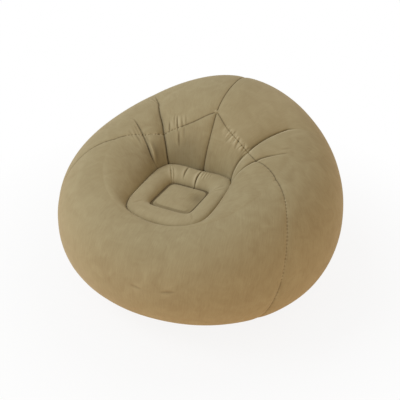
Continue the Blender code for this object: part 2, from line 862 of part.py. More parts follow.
def valve_leash(axis):
    """The ring under the stopper's rim, with the tab and knuckle that the cap swings on."""
    low = leash_height()
    high = low + LEASH_THICKNESS
    inner = stopper_radius() + CLEARANCE
    ring = ((STOPPER_RADIUS, high), (STOPPER_RADIUS, low), (inner, low), (inner, high))
    leash = turned("valve_leash", ring, valve_vinyl, axis)
    up, outwards = cap_hinge_place()
    half = KNUCKLE_HALF_WIDTH
    low, high = low + TAB_STEP, high - TAB_STEP
    foot = STOPPER_RADIUS - OVERRUN / 2
    combine(leash, tab("leash_tab", -half, half, foot, up, low, high, axis), "UNION")
    combine(leash, rod("leash_knuckle", KNUCKLE_RADIUS, half, (0, up, outwards), axis), "UNION")
    bore = rod("leash_bore", HINGE_PIN_RADIUS + CLEARANCE, half + OVERRUN, (0, up, outwards), axis)
    combine(leash, bore, "DIFFERENCE")
    return leash


def turned_with_cap(name, profile, hinge):
    """A turned piece of the cap: it turns about the valve's axis, and its origin is on the hinge."""
    up, outwards = cap_hinge_place()
    local = [(radius, height - outwards) for radius, height in profile]
    piece = turned(name, local, valve_vinyl, hinge)
    piece.modifiers["turn"].object = empty(f"{name}_turning_axis", (0, -up, 0), hinge)
    for vert in piece.data.vertices:
        vert.co.y = -up
    return piece


def valve_plug(hinge):
    """The hollow plug under the cap's lid, which pushes into the stopper's bore."""
    root = cap_height() - CLEARANCE
    end = cap_height() - PLUG_DEPTH
    plug = stopper_bore() - CLEARANCE
    tip = plug - PLUG_TAPER
    ring = ((plug, root), (tip, end), (tip - PLUG_WALL, end), (plug - PLUG_WALL, root))
    return turned_with_cap("valve_plug", ring, hinge)


def valve_cap(hinge):
    """The cap: a lid with a pull tab below and a forked strap to the hinge above."""
    up, outwards = cap_hinge_place()
    under = cap_height()
    top = under + CAP_THICKNESS
    lid = (
        (0, top),
        (CAP_RADIUS - CAP_THICKNESS / 3, top),
        (CAP_RADIUS, top - CAP_THICKNESS / 3),
        (CAP_RADIUS, under),
        (0, under),
    )
    cap = turned_with_cap("valve_cap", lid, hinge)
    low, high = under - outwards + TAB_STEP, top - outwards - TAB_STEP
    lid_edge = CAP_RADIUS - up
    slot_foot = -KNUCKLE_RADIUS - CLEARANCE
    arm_start = KNUCKLE_HALF_WIDTH + CLEARANCE
    fork = (
        (-STRAP_HALF_WIDTH, lid_edge - OVERRUN),
        (STRAP_HALF_WIDTH, lid_edge - OVERRUN),
        (STRAP_HALF_WIDTH, 0),
        (arm_start, 0),
        (arm_start, slot_foot),
        (-arm_start, slot_foot),
        (-arm_start, 0),
        (-STRAP_HALF_WIDTH, 0),
    )
    combine(cap, plate("cap_strap", fork, low, high, hinge), "UNION")
    half = (STRAP_HALF_WIDTH - arm_start) / 2
    for side in (-1, 1):
        centre = (side * (arm_start + half), 0, 0)
        combine(cap, rod(f"cap_knuckle_{side}", KNUCKLE_RADIUS, half, centre, hinge), "UNION")
    combine(cap, rod("cap_pin", HINGE_PIN_RADIUS, arm_start + OVERRUN / 2, (0, 0, 0), hinge), "UNION")
    tab_top = -up - CAP_RADIUS + OVERRUN
    tab_foot = -up - CAP_RADIUS - PULL_TAB_LENGTH
    half = PULL_TAB_WIDTH / 2
    combine(cap, tab("pull_tab", -half, half, tab_foot, tab_top, low, high, hinge), "UNION")
    return cap


def valve_flap(hinge):
    """The check flap: a disc over the port's inner face, hung between the stopper's two lugs."""
    up, outwards = flap_hinge_place()
    face = stopper_height() - STOPPER_DEPTH - CLEARANCE - outwards
    radius = PORT_RADIUS + FLAP_OVERLAP
    profile = ((0, face), (radius, face), (radius, face - FLAP_THICKNESS), (0, face - FLAP_THICKNESS))
    flap = turned("valve_flap", profile, soft_vinyl, hinge)
    screw = flap.modifiers["turn"]
    screw.object = empty("flap_turning_axis", (0, -up, 0), hinge)
    for vert in flap.data.vertices:
        vert.co.y = -up
    half = FLAP_TAB_HALF_WIDTH
    low, high = face - FLAP_THICKNESS + TAB_STEP, face - TAB_STEP
    combine(flap, tab("flap_tab", -half, half, radius - up - OVERRUN, 0, low, high, hinge), "UNION")
    combine(flap, rod("flap_barrel", FLAP_BARREL_RADIUS, half, (0, 0, 0), hinge), "UNION")
    pin_half = half + CLEARANCE + LUG_THICKNESS
    combine(flap, rod("flap_pin", HINGE_PIN_RADIUS, pin_half, (0, 0, 0), hinge), "UNION")
    return flap


clear_scene()
chair = make_collection("inflatable_chair")
tools = make_collection("cutters_and_helpers")
flocked = make_material("flocked vinyl film", (0.35, 0.28, 0.16), 0.95, sheen=0.4)
plain_film = make_material("plain vinyl film", (0.30, 0.24, 0.14), 0.5)
valve_vinyl = make_material("moulded vinyl", (0.28, 0.24, 0.17), 0.45)
soft_vinyl = make_material("soft clear vinyl", (0.62, 0.60, 0.52), 0.35)

front_panel()
back_panel("back_panel_left", -1)
right_back = back_panel("back_panel_right", 1, flatten_for_valve)
seat_panel()
base_panel()
doubler("seat_doubler", doubler_height())
doubler("base_doubler", FILM + CLEARANCE)
for side_name, side_heading in (("front", 0), ("right", 90), ("rear", 180), ("left", 270)):
    tie_web(f"seat_tie_{side_name}", side_heading)

_, valve_middle, valve_outward = valve_cell()
valve_turn = valve_outward.to_track_quat("Z", "Y").to_euler()
valve_axis = empty("valve_axis", valve_middle, rotation=valve_turn)
cap_up, cap_outwards = cap_hinge_place()
flap_up, flap_outwards = flap_hinge_place()
cap_hinge = empty("cap_hinge", (0, cap_up, cap_outwards), valve_axis)
flap_hinge = empty("flap_hinge", (0, flap_up, flap_outwards), valve_axis)
combine(right_back, neck_hole(valve_axis), "DIFFERENCE")
right_back.modifiers.new("even shading", "WEIGHTED_NORMAL").keep_sharp = True
valve_flange(valve_axis)
valve_neck(valve_axis)
valve_stopper(valve_axis)
valve_leash(valve_axis)
valve_cap(cap_hinge)
valve_plug(cap_hinge)
valve_flap(flap_hinge)
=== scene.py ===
"""The finish of a round inflatable lounge chair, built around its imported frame.

The chair is one ring of air in flocked vinyl film: a horseshoe front panel, two back panels and a
padded seat, over a base of plain film, with a two-stage air valve low on the back.

Lengths are metres and angles degrees. +Z is up and the chair faces -Y. The skin is one surface over
(angle, climb): the angle runs round the chair in plan, 0 straight ahead and 180 at the back, and the
climb counts stages, 0 the groove round the seat, 1 the crest, 2 the belly and 3 the base's edge.
"""

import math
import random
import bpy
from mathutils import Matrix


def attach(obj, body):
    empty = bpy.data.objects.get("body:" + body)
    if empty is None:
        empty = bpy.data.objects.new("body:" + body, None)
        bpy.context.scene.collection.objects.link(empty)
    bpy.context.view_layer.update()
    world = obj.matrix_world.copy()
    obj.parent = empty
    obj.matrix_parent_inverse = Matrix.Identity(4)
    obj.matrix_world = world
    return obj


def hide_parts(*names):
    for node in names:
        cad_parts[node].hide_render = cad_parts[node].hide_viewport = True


bl_info = {
    "name": "Inflatable Lounge Chair",
    "version": (1, 0, 0),
    "blender": (4, 5, 0),
    "location": "3D View > Sidebar > Air Chair",
    "description": "Dresses the frame of an inflatable lounge chair in flocked film and sets the stage",
    "category": "Object",
}

import bpy
import numpy as np
from mathutils import Vector

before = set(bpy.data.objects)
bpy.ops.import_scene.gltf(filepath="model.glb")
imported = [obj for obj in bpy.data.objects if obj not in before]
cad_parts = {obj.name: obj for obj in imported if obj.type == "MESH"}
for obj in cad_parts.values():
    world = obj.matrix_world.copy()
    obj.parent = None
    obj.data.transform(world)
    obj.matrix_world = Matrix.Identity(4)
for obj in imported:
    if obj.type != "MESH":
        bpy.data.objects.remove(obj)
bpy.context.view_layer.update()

MM = 0.001

# The ring of air: the crest, the belly and the base as the solids have them, and the groove round
# the seat as the photograph shows it. A ring's square is 2 where it is an ellipse.
BELLY = {"half_width": 0.535, "front": 0.540, "back": 0.540, "square": 2.03}
CREST = {"half_width": 0.325, "front": 0.352, "back": 0.330, "square": 2.3}
GROOVE = {"half_width": 0.1545, "front": 0.184, "back": 0.169, "square": 3.9}
BASE = {"half_width": 0.395, "front": 0.358, "back": 0.358, "square": 2.1}
BELLY_FRONT_HEIGHT = 0.237
BELLY_BACK_HEIGHT = 0.277
CREST_FORWARD = 0.020
CREST_FRONT_HEIGHT = 0.402
CREST_SIDE_HEIGHT = 0.517
CREST_BACK_HEIGHT = 0.658
CREST_DIP = 0.065
GROOVE_FORWARD = 0.163
GROOVE_HEIGHT = 0.401
GROOVE_REAR_SAG = 0.009
GROOVE_SAG_SPREAD = 20
GROOVE_REAR_LIFT = 0.012
BASE_SETBACK = 0.026
BASE_ROLL = 0.025

# How full the film stands between two rings, 2 for an ellipse. Under the crest the front's fullness
# turns into the inner wall's between two angles.
FRONT_FULLNESS = 1.62
INNER_FULLNESS = 1.99
FULLNESS_TURN = (70, 130)
OUTER_FULLNESS = 2.18
UNDERCUT_ANGLE = 68.5

# The padded seat.
PAD_CROWN = 0.022
PAD_SHOULDER = 0.6
QUILT_HALF_WIDTH = 0.083
QUILT_HALF_DEPTH = 0.091
QUILT_SQUARENESS = 7
QUILT_FORWARD = 0.166
QUILT_HEIGHT = 0.387
QUILT_WELD_BAND = 0.009
QUILT_PUFF = 0.011
QUILT_DENT = 0.006
QUILT_DENT_PLACE = (0.066, -0.140)
QUILT_DENT_REACH = 0.034

# The seat's tone: how far the weld band presses its flock, and the painted shadow over the quilt's
# dent and painted shade along its front rows, which fade in between two cosines of the angle.
WELD_BAND_PRESS = 0.9
WELD_BAND_ROWS = 4
QUILT_SHADE = 0.55
QUILT_FRONT = (0.55, 0.8)
QUILT_FRONT_ROWS = 6

# The side seam in (angle, climb), from the base's edge to the star behind the seat.
SIDE_SEAM = (
    (49, 3.00),
    (53, 2.40),
    (56.5, 2.00),
    (62, 1.58),
    (70, 1.27),
    (84, 0.95),
    (104, 0.715),
    (124, 0.53),
    (141, 0.445),
    (161, 0.475),
    (180, 0.60),
)
# The share of the side seam where it bends round the arm, and the angle at the seat below that.
SEAM_BEND = 0.5
BEND_SEAT_ANGLE = 92

# The weld up the middle of the well, in (angle, climb), from the seat to the star, and the depth and
# reach of the valley that it lies in.
WELL_SEAM = ((177.4, 0.00), (176.4, 0.15), (176.3, 0.30), (177.6, 0.45), (180, 0.60))
WELL_VALLEY = 0.012
WELL_VALLEY_REACH = 0.035

# The deep folds of the inner wall, an arm fold and a corner fold on each side: the angles at the
# fold climbs, the depth, the spread in degrees, the climb where the fold dies out, how hard it
# pinches the film and how dark the painted shade along its line is, as (climbs, shares), and the
# painted highlight on the lip ahead of it, as (climbs, distances) and a share.
FOLD_CLIMBS = (0, 0.3, 0.6, 0.9, 1.2, 1.5)
FOLDS = {
    1: (
        {
            "line": (126, 122, 116, 107.5, 102, 99), "depth": 0.014, "spread": 4, "end": 1.1,
            "pinch": ((0.0, 0.12, 0.35, 0.76, 0.90), (0.1, 0.3, 0.9, 0.9, 0)),
            "lip": ((0.3, 0.8), (0.013, 0.006), 0.8),
        },
        {
            "line": (140, 138.5, 134, 129.2, 126, 122), "depth": 0.038, "spread": 6, "end": 1.4,
            "pinch": ((0.0, 0.98, 1.08), (1, 1, 0)),
            "lip": ((0.0, 0.5, 0.68), (0.019, 0.015, 0.006), 1.0),
        },
    ),
    -1: (
        {
            "line": (126, 116.5, 109.4, 105, 103, 103), "depth": 0.014, "spread": 4, "end": 1.1,
            "pinch": ((0.0, 0.12, 0.35, 0.85, 1.03), (0.1, 0.3, 0.9, 0.9, 0)),
            "lip": ((0, 1), (0.006, 0.006), 0.2),
        },
        {
            "line": (140, 136, 129.3, 124.8, 127, 129), "depth": 0.038, "spread": 6, "end": 1.4,
            "pinch": ((0.0, 1.08, 1.17), (1, 1, 0)),
            "lip": ((0, 1), (0.006, 0.006), 0.2),
        },
    ),
}

# A fold's depth rises from a share at the seat up to the climb of its start, and fades from another
# climb. It crosses the side seam before a share of the seam, found among a count of places, and the
# columns of the back's grid have left its line at a last climb. A pinch draws its line in sharply.
FOLD_FOOT = 0.2
FOLD_START = 0.75
FOLD_FADE = 0.5
FOLD_SEARCH_END = 0.95
FOLD_SEARCH_COUNT = 4001
FOLD_LEFT = 2.4
PINCH_DEPTH = 0.007
PINCH_WIDTH = 0.0019
HIGHLIGHT_WIDTH = 0.0034

# The valve on the right back panel: its middle, the way out of it, the hole for its neck and the
# edge of its flange. The film is flat over the flange and a little past it, and lies lower on it.
VALVE_MIDDLE = (0.123898, 0.52173, 0.270919)
VALVE_OUT = (0.227286, 0.973269, -0.032981)
VALVE_HOLE = 0.0204
FLANGE_EDGE = 0.031
FLAT_MARGIN = 0.003
FLANGE_STEP = 0.0007
FLANGE_STEP_WIDTH = 0.001
FLAT_HEIGHT = 0.06
HOLE_HEIGHT = 0.02

# The lengths of film that the grids divide: the inner wall, the outside from crest to base, the front
# from its middle to the bend, the pad's ring and the quilt, and an arc's length over its chord's.
WALL_LENGTH = 0.32
OUTER_LENGTH = 0.88
FRONT_LENGTH = 0.50
PAD_LENGTH = 0.115
QUILT_LENGTH = 0.074
ARC_PER_CHORD = 1.05

# The grids: their usual spacing, the finest spacing beside a seam and its growth from there, the
# counts round the seat and the base, and how far a fin reaches in.
FRONT_STEP = 0.0042
BACK_STEP = 0.0026
PAD_STEP = 0.0026
PAD_TURNS = 480
FIRST_STEP = 0.0006
STEP_GROWTH = 1.35
BASE_COLUMNS = 360
BASE_ROLL_ROWS = 7
BASE_FLAT_ROWS = 9
FIN = 0.005

# The lines of the welds and folds: their stations, the spacing of their points, the points skipped
# in a first rough search, how many film points are searched at once, and how far each search looks.
LINE_STATIONS = 400
LINE_STEP = 0.0015
LINE_STRIDE = 20
SEARCH_CHUNK = 4000
WELD_LIMIT = 0.08
WELL_LIMIT = 0.2
FOLD_LIMIT = 0.03

# Puckers along the welds: the seam, its stretch as shares of its length, pitch, depth as a share of
# the usual, reach before and after the weld, and lean.
PUCKERS = (
    ("right", 0.795, 0.93, 0.0085, 2.0, 0.024, 0.046, -0.3),
    ("right", 0.52, 0.80, 0.020, 0.4, 0.014, 0.020, 0.0),
    ("right", 0.10, 0.50, 0.017, 0.35, 0.012, 0.016, 0.0),
    ("left", 0.735, 0.82, 0.009, 1.4, 0.009, 0.007, 0.0),
    ("left", 0.52, 0.735, 0.020, 0.4, 0.014, 0.020, 0.1),
    ("left", 0.81, 0.965, 0.018, 0.3, 0.012, 0.018, 0.3),
    ("left", 0.10, 0.50, 0.022, 0.35, 0.014, 0.018, 0.0),
    ("back", 0.10, 0.95, 0.020, 0.5, 0.022, 0.022, 0.0),
    ("well", 0.10, 0.95, 0.018, 0.2, 0.010, 0.010, 0.0),
    ("base", 0.00, 1.00, 0.024, 0.8, 0.030, 0.045, 0.0),
)
PUCKER_WIDTH = 0.0034

# What chance gives each pucker, as ranges of shares: reach, depth, width and the step to the next,
# then the skew and bow to either side. A stretch swells to its middle by a power of a sine, which
# never falls below its value a little way in from the ends.
PUCKER_REACH = (0.4, 1)
PUCKER_DEPTH = (0.3, 1)
PUCKER_BREADTH = (0.7, 1.3)
PUCKER_SPACING = (0.55, 1.6)
PUCKER_SKEW = 0.25
PUCKER_BOW = 4
PUCKER_SWELL = 0.6
PUCKER_END = 0.04

# A crease narrows to a share of its width at its tips, and is felt a few widths away. It is whole
# within half a height of its middle and gone at one and a half.
CREASE_TIP = 0.45
CREASE_WIDTHS = 4
CREASE_HEIGHT = 0.03

# How wide the dark line of a weld is, and the painted shade along a fold's line; the depth of a
# crease whose painted shade is as dark as a weld; and how much stronger the painted highlight on a
# crease's lips is.
LINE_MARK_WIDTH = 0.0017
CREASE_SHADE_DEPTH = 0.004
LIP_HIGHLIGHT_SHARE = 3

# The slack of the film sets in this far from a weld.
SLACK_START = 0.03

# Patches of painted shade and painted light: the (angle, climb) place, the reach and the share,
# which paints shade above 0 and light below. The shade lies low in the left of the well, the light
# on the right of the back and past the crest at the left front. Then how much lighter the whole seat
# is drawn, and the painted highlight on the wall round the seat's edge: its distance and share, and
# its middle and fade as angles.
SHADED_AND_LIT_PATCHES = (
    ((-104, 0.33), 0.10, 0.22),
    ((-157, 0.16), 0.08, 0.32),
    ((150, 0.45), 0.08, -0.15),
    ((150, 1.05), 0.16, -0.30),
    ((-30, 1.30), 0.20, -0.15),
)
SEAT_LIGHTER = -0.17
SEAT_HIGHLIGHT_GAP = 0.008
SEAT_HIGHLIGHT_SHARE = 0.45
SEAT_HIGHLIGHT_MIDDLE = 35
SEAT_HIGHLIGHT_FADE = (60, 100)

# How hard the right side weld presses the flock, as (climbs, shares). The ticks where flock stands up
# in the side welds: their pitch, the share of it that stands, how much, and their stretches. The nib
# where the welds meet.
RIGHT_GRIP = ((0.0, 1.0, 1.3, 3.0), (1, 1, 0.45, 0.7))
TICK_PITCH = 0.0125
TICK_SHARE = 0.45
TICK_GRIP = -0.9
LEFT_TICKS = (0.68, 0.87)
RIGHT_TICKS = (0.30, 0.56)
NIB_RADIUS = 0.006
NIB_HEIGHT = 0.005

# Single creases: two (angle, climb) places, depth, width and bow. A negative depth is a ridge.
SKIN_CREASES = (
    ((-136.2, 0.60), (-138.2, 0.42), 0.0036, 0.0036, 0.0),
    ((-143.4, 0.60), (-146.2, 0.39), 0.0060, 0.0034, 0.0),
    ((-140.6, 0.64), (-143.0, 0.43), 0.0026, 0.0044, 1.5),
    ((-147.6, 0.58), (-150.6, 0.42), 0.0026, 0.0040, -1.0),
    ((-151.6, 0.57), (-154.2, 0.43), 0.0022, 0.0040, 0.0),
    ((-147.2, 0.43), (-150.0, 0.22), 0.0026, 0.0044, 0.0),
    ((-152.4, 0.44), (-154.4, 0.30), 0.0012, 0.0050, 0.0),
    ((-123.4, 1.18), (-124.9, 0.96), 0.0022, 0.0032, 0.0),
    ((-121.6, 1.14), (-123.0, 1.00), 0.0014, 0.0032, 0.0),
    ((-99.2, 0.90), (-103.2, 0.54), 0.0020, 0.0050, 0.6),
    ((-102.2, 0.90), (-104.6, 0.66), 0.0016, 0.0040, 0.0),
    ((-95.6, 0.90), (-97.4, 0.68), 0.0014, 0.0046, 0.0),
    ((-113.6, 0.56), (-124.2, 0.10), -0.0032, 0.0060, 0.0),
    ((-110.4, 0.66), (-115.4, 0.42), 0.0016, 0.0040, 0.0),
    ((106.0, 0.99), (109.0, 0.84), 0.0018, 0.0040, 0.0),
    ((110.0, 1.02), (112.4, 0.86), 0.0016, 0.0040, 0.0),
    ((1.0, 1.90), (6.0, 1.925), 0.0016, 0.0060, 0.0),
    ((12.0, 1.92), (18.5, 1.89), 0.0016, 0.0060, 0.0),
)

# Tucks of the padded seat: two plan places, depth, width and bow.
PAD_TUCKS = (
    ((0.010, 0.000), (0.0130, -0.0980), 0.0090, 0.0030, 1.6),
    ((-0.048, 0.002), (-0.0390, -0.0720), 0.0056, 0.0034, 1.6),
    ((-0.113, -0.026), (-0.0710, -0.0930), 0.0046, 0.0032, -1.0),
    ((-0.100, -0.026), (-0.0640, -0.0890), 0.0036, 0.0030, -1.0),
    ((0.0250, -0.012), (0.0270, -0.0560), 0.0034, 0.0026, 0.0),
    ((0.0350, -0.010), (0.0370, -0.0560), 0.0040, 0.0026, 0.0),
    ((0.0450, -0.012), (0.0460, -0.0500), 0.0032, 0.0026, 0.0),
    ((0.0540, -0.016), (0.0550, -0.0440), 0.0024, 0.0026, 0.0),
    ((0.1300, -0.060), (0.0960, -0.1040), 0.0018, 0.0040, 0.0),
    ((0.1380, -0.080), (0.1000, -0.1140), 0.0014, 0.0040, 0.0),
    ((0.1200, -0.300), (0.0920, -0.2540), 0.0012, 0.0044, 0.0),
    ((-0.1200, -0.300), (-0.0900, -0.2540), 0.0014, 0.0044, 0.0),
)

# The height at which the tucks are drawn, near the top of the pad.
PAD_TOP = 0.415

# The cloth pass on the padded seat: its frames, the air's pressure, how far the film may grow and
# how far a point may move. The rows at both edges of the pad's ring are held.
CLOTH_FRAMES = 18
CLOTH_PRESSURE = 4
CLOTH_GROWTH = 0.03
CLOTH_CAP = 0.006
HELD_OUTER_ROWS = 3
HELD_INNER_ROWS = 2

# The studio. Up to the first distance of the fade the camera sees the floor as a share of white, and
# from the second as white.
FLOOR_HALF_WIDTH = 9
FLOOR_FADE = (0.65, 1.25)
FLOOR_WHITE = 0.88
CAMERA_TARGET = (0, -0.0046, 0.2894)
CAMERA_SENSOR = 36
KEY_PLACE = (-2.2, -1.6, 2.9)
KEY_TARGET = (0, 0, 0.3)
KEY_SIZE = 1.8


class AirChairSizes(bpy.types.PropertyGroup):
    """Sizes of the finish that a user would change."""

    weld_edge: bpy.props.FloatProperty(
        name="Weld edge", description="Radius of the film's turn into a weld",
        default=0.0024, unit="LENGTH",
    )
    weld_dip: bpy.props.FloatProperty(
        name="Weld dip", description="How far a weld holds the film in",
        default=0.0045, unit="LENGTH",
    )
    weld_reach: bpy.props.FloatProperty(
        name="Weld reach", description="How far the dip reaches from a weld",
        default=0.010, unit="LENGTH",
    )
    pucker_depth: bpy.props.FloatProperty(
        name="Pucker depth", description="Depth of the puckers along the welds",
        default=0.0030, unit="LENGTH",
    )
    slack: bpy.props.FloatProperty(
        name="Slack", description="Slow unevenness of the inflated film",
        default=0.0012, unit="LENGTH",
    )


class AirChairColours(bpy.types.PropertyGroup):
    """Colours of the finish, as hex values that are read as sRGB."""

    flock: bpy.props.StringProperty(
        name="Flock", description="Flock brushed one way", default="B0A17B",
    )
    flock_dark: bpy.props.StringProperty(
        name="Flock, dark", description="Flock brushed the other way", default="9F8D68",
    )
    # Also the colour of painted highlights and painted light: on the lips of creases and folds, round
    # the seat's edge and on lit patches.
    lifted_and_highlight: bpy.props.StringProperty(
        name="Flock, lifted", description="Flock that stands up", default="CCBD97",
    )
    sheen: bpy.props.StringProperty(
        name="Flock, sheen", description="Tips of the flock at a grazing angle", default="E8DFC4",
    )
    # Also the colour of painted shade: in creases, along folds, low in the well and over the quilt.
    weld: bpy.props.StringProperty(
        name="Weld", description="Flock pressed into a weld", default="43341C",
    )
    film: bpy.props.StringProperty(
        name="Plain film", description="Plain film of the base", default="8C7B58",
    )
    valve: bpy.props.StringProperty(
        name="Valve", description="Moulded parts of the valve", default="ADA182",
    )
    clear: bpy.props.StringProperty(
        name="Flap", description="Soft clear flap of the valve", default="E4E0D2",
    )
    floor: bpy.props.StringProperty(
        name="Floor", description="Paper floor of the studio", default="EFECE7",
    )
    bounce: bpy.props.StringProperty(
        name="Bounce", description="Warm light that the floor throws up", default="FFB634",
    )
    key: bpy.props.StringProperty(
        name="Key lamp", description="Light of the large lamp", default="E4F0FF",
    )
    room: bpy.props.StringProperty(
        name="Room", description="Even light of the room", default="F7F8FA",
    )
    warm_wall: bpy.props.StringProperty(
        name="Warm wall", description="Light of the room's wall on the right", default="F7DDBC",
    )


class AirChairStudio(bpy.types.PropertyGroup):
    """The camera and the lights."""

    azimuth: bpy.props.FloatProperty(
        name="Azimuth", description="Camera's turn from straight ahead",
        default=math.radians(26.87), subtype="ANGLE",
    )
    elevation: bpy.props.FloatProperty(
        name="Elevation", description="Camera's height angle",
        default=math.radians(32.54), subtype="ANGLE",
    )
    distance: bpy.props.FloatProperty(
        name="Distance", description="Camera's distance from its target",
        default=2.953, unit="LENGTH",
    )
    lens: bpy.props.FloatProperty(
        name="Lens", description="Focal length of the camera in millimetres", default=69.95,
    )
    ambient: bpy.props.FloatProperty(
        name="Ambient", description="Strength of the room's even light", default=0.66,
    )
    bounce: bpy.props.FloatProperty(
        name="Bounce", description="Strength of the light from the floor", default=0.32,
    )
    key: bpy.props.FloatProperty(
        name="Key lamp", description="Power of the large lamp in watts", default=48,
    )


def srgb(text):
    """A linear colour, with alpha, from an sRGB hex value."""
    channels = [int(text[start:start + 2], 16) / 255 for start in (0, 2, 4)]
    return (*(c / 12.92 if c <= 0.04045 else ((c + 0.055) / 1.055) ** 2.4 for c in channels), 1)


def superellipse(angle, half_width, front, back, square):
    """Plan positions at angles on a closed curve, round at square 2 and squarer above it."""
    sideways, ahead = np.sin(np.radians(angle)), np.cos(np.radians(angle))
    depth = np.where(ahead > 0, front, back)
    reach = np.abs(sideways / half_width) ** square + np.abs(ahead / depth) ** square
    reach = reach ** (-1 / square)
    return np.stack((reach * sideways, -reach * ahead, np.zeros_like(reach)), -1)


def placed(ring, back, height):
    """A ring moved back, and up by a height that may change along it."""
    ring[..., 1] += back
    ring[..., 2] += height
    return ring


def groove_ring(angle):
    ring = superellipse(angle, *GROOVE.values())
    height = GROOVE_HEIGHT + GROOVE_REAR_LIFT * ring[..., 1] / GROOVE["back"]
    off_middle = (180 - np.abs((angle + 180) % 360 - 180)) / GROOVE_SAG_SPREAD
    ring[..., 1] -= GROOVE_REAR_SAG * np.exp(-off_middle**2)
    return placed(ring, -GROOVE_FORWARD, height)


def crest_ring(angle):
    rearward = -np.cos(np.radians(angle))
    slope = (CREST_BACK_HEIGHT - CREST_FRONT_HEIGHT) / 2
    bow = (CREST_BACK_HEIGHT + CREST_FRONT_HEIGHT) / 2 - CREST_SIDE_HEIGHT
    height = CREST_SIDE_HEIGHT + slope * rearward + bow * rearward**2
    height += CREST_DIP * (rearward**3 - rearward)
    return placed(superellipse(angle, *CREST.values()), -CREST_FORWARD, height)


def belly_ring(angle):
    rearward = -np.cos(np.radians(angle))
    middle = (BELLY_BACK_HEIGHT + BELLY_FRONT_HEIGHT) / 2
    height = middle + (BELLY_BACK_HEIGHT - BELLY_FRONT_HEIGHT) / 2 * rearward
    return placed(superellipse(angle, *BELLY.values()), 0, height)


def base_ring(angle):
    return placed(superellipse(angle, *BASE.values()), BASE_SETBACK, 0)


def quilt_ring(angle, inset):
    half_width, half_depth = QUILT_HALF_WIDTH - inset, QUILT_HALF_DEPTH - inset
    ring = superellipse(angle, half_width, half_depth, half_depth, QUILT_SQUARENESS)
    return placed(ring, -QUILT_FORWARD, QUILT_HEIGHT)


def between(start, end, across, up):
    return start + (end - start) * np.stack((across, across, up), -1)


def smooth_skin(angle, climb):
    """The inflated surface without folds."""
    angle, climb = np.broadcast_arrays(np.asarray(angle, float), np.asarray(climb, float))
    inner = np.radians(90 * np.clip(climb, 0, 1))
    outer = np.radians(90 * np.clip(climb - 1, 0, 1))
    under = np.radians(UNDERCUT_ANGLE * np.clip(climb - 2, 0, 1))
    undercut = math.radians(UNDERCUT_ANGLE)
    groove, crest, belly = groove_ring(angle), crest_ring(angle), belly_ring(angle)
    turned = smoothstep(np.abs(angle), *FULLNESS_TURN)
    fullness = FRONT_FULLNESS + (INNER_FULLNESS - FRONT_FULLNESS) * turned
    full_in, full_out = 2 / fullness, 2 / OUTER_FULLNESS
    wall = between(
        groove, crest, 1 - np.clip(np.cos(inner), 0, 1) ** full_in, np.sin(inner) ** full_in,
    )
    shoulder = between(
        crest, belly, np.sin(outer) ** full_out, 1 - np.clip(np.cos(outer), 0, 1) ** full_out,
    )
    foot = between(
        belly, base_ring(angle),
        (1 - np.cos(under)) / (1 - math.cos(undercut)), np.sin(under) / math.sin(undercut),
    )
    stage = climb[..., None]
    return np.where(stage <= 1, wall, np.where(stage <= 2, shoulder, foot))


def unit(vectors):
    return vectors / np.maximum(np.linalg.norm(vectors, axis=-1, keepdims=True), 1e-12)


def outward(angle, climb):
    """The direction out of the air chamber."""
    turn, stage = 0.4, 0.01
    along = smooth_skin(angle + turn, climb) - smooth_skin(angle - turn, climb)
    above, below = np.minimum(climb + stage, 3), np.maximum(climb - stage, 0)
    onward = smooth_skin(angle, above) - smooth_skin(angle, below)
    return -unit(np.cross(along, onward))


def smoothstep(value, low, high):
    share = np.clip((value - low) / (high - low), 0, 1)
    return share * share * (3 - 2 * share)


def through(points, share):
    """Places on the smooth curve through points, at shares of its length counted in points."""
    points = np.asarray(points, float)
    framed = np.vstack((2 * points[0] - points[1], points, 2 * points[-1] - points[-2]))
    place = np.asarray(share, float) * (len(points) - 1)
    index = np.clip(place.astype(int), 0, len(points) - 2)
    local = (place - index)[..., None]
    before, start, end, after = (framed[index + shift] for shift in range(4))
    slope = end - before
    bend = 2 * before - 5 * start + 4 * end - after
    twist = 3 * start - before - 3 * end + after
    return start + (slope * local + bend * local**2 + twist * local**3) / 2


def side_seam(share):
    return through(SIDE_SEAM, share)


def fold_line(fold, climb):
    """The angle of a fold at each climb."""
    share = np.clip(np.asarray(climb, float) / FOLD_CLIMBS[-1], 0, 1)
    return through(np.array(fold["line"])[:, None], share)[..., 0]


def fold_crossing(fold):
    """The share of the side seam at which a fold crosses it."""
    shares = np.linspace(SEAM_BEND, FOLD_SEARCH_END, FOLD_SEARCH_COUNT)
    places = side_seam(shares)
    return shares[np.argmax(places[:, 0] > fold_line(fold, places[:, 1]))]


def fold_depth(angle, climb):
    depth = np.zeros_like(angle)
    risen = FOLD_FOOT + (1 - FOLD_FOOT) * smoothstep(climb, 0, FOLD_START)
    for side, folds in FOLDS.items():
        for fold in folds:
            off_line = np.abs(side * angle - fold_line(fold, climb)) / fold["spread"]
            fading = 1 - smoothstep(climb, FOLD_FADE, fold["end"])
            depth += fold["depth"] * risen * fading * np.exp(-off_line)
    return depth


def graded(length, step, fine_start=True, fine_end=True):
    """Shares from 0 to 1 about a step apart, closer at the ends that lie on a seam or a fold."""
    growing = []
    while FIRST_STEP * STEP_GROWTH ** len(growing) < step:
        growing.append(FIRST_STEP * STEP_GROWTH ** len(growing))
    head, tail = growing * fine_start, growing[::-1] * fine_end
    rest = max(length - sum(head) - sum(tail), step)
    count = max(round(rest / step), 1)
    sizes = np.array(head + [rest / count] * count + tail)
    return np.concatenate(([0], np.cumsum(sizes))) / sizes.sum()


def wall_rows():
    return graded(WALL_LENGTH, FRONT_STEP)


def outer_rows(fine_start):
    return graded(OUTER_LENGTH, FRONT_STEP, fine_start)


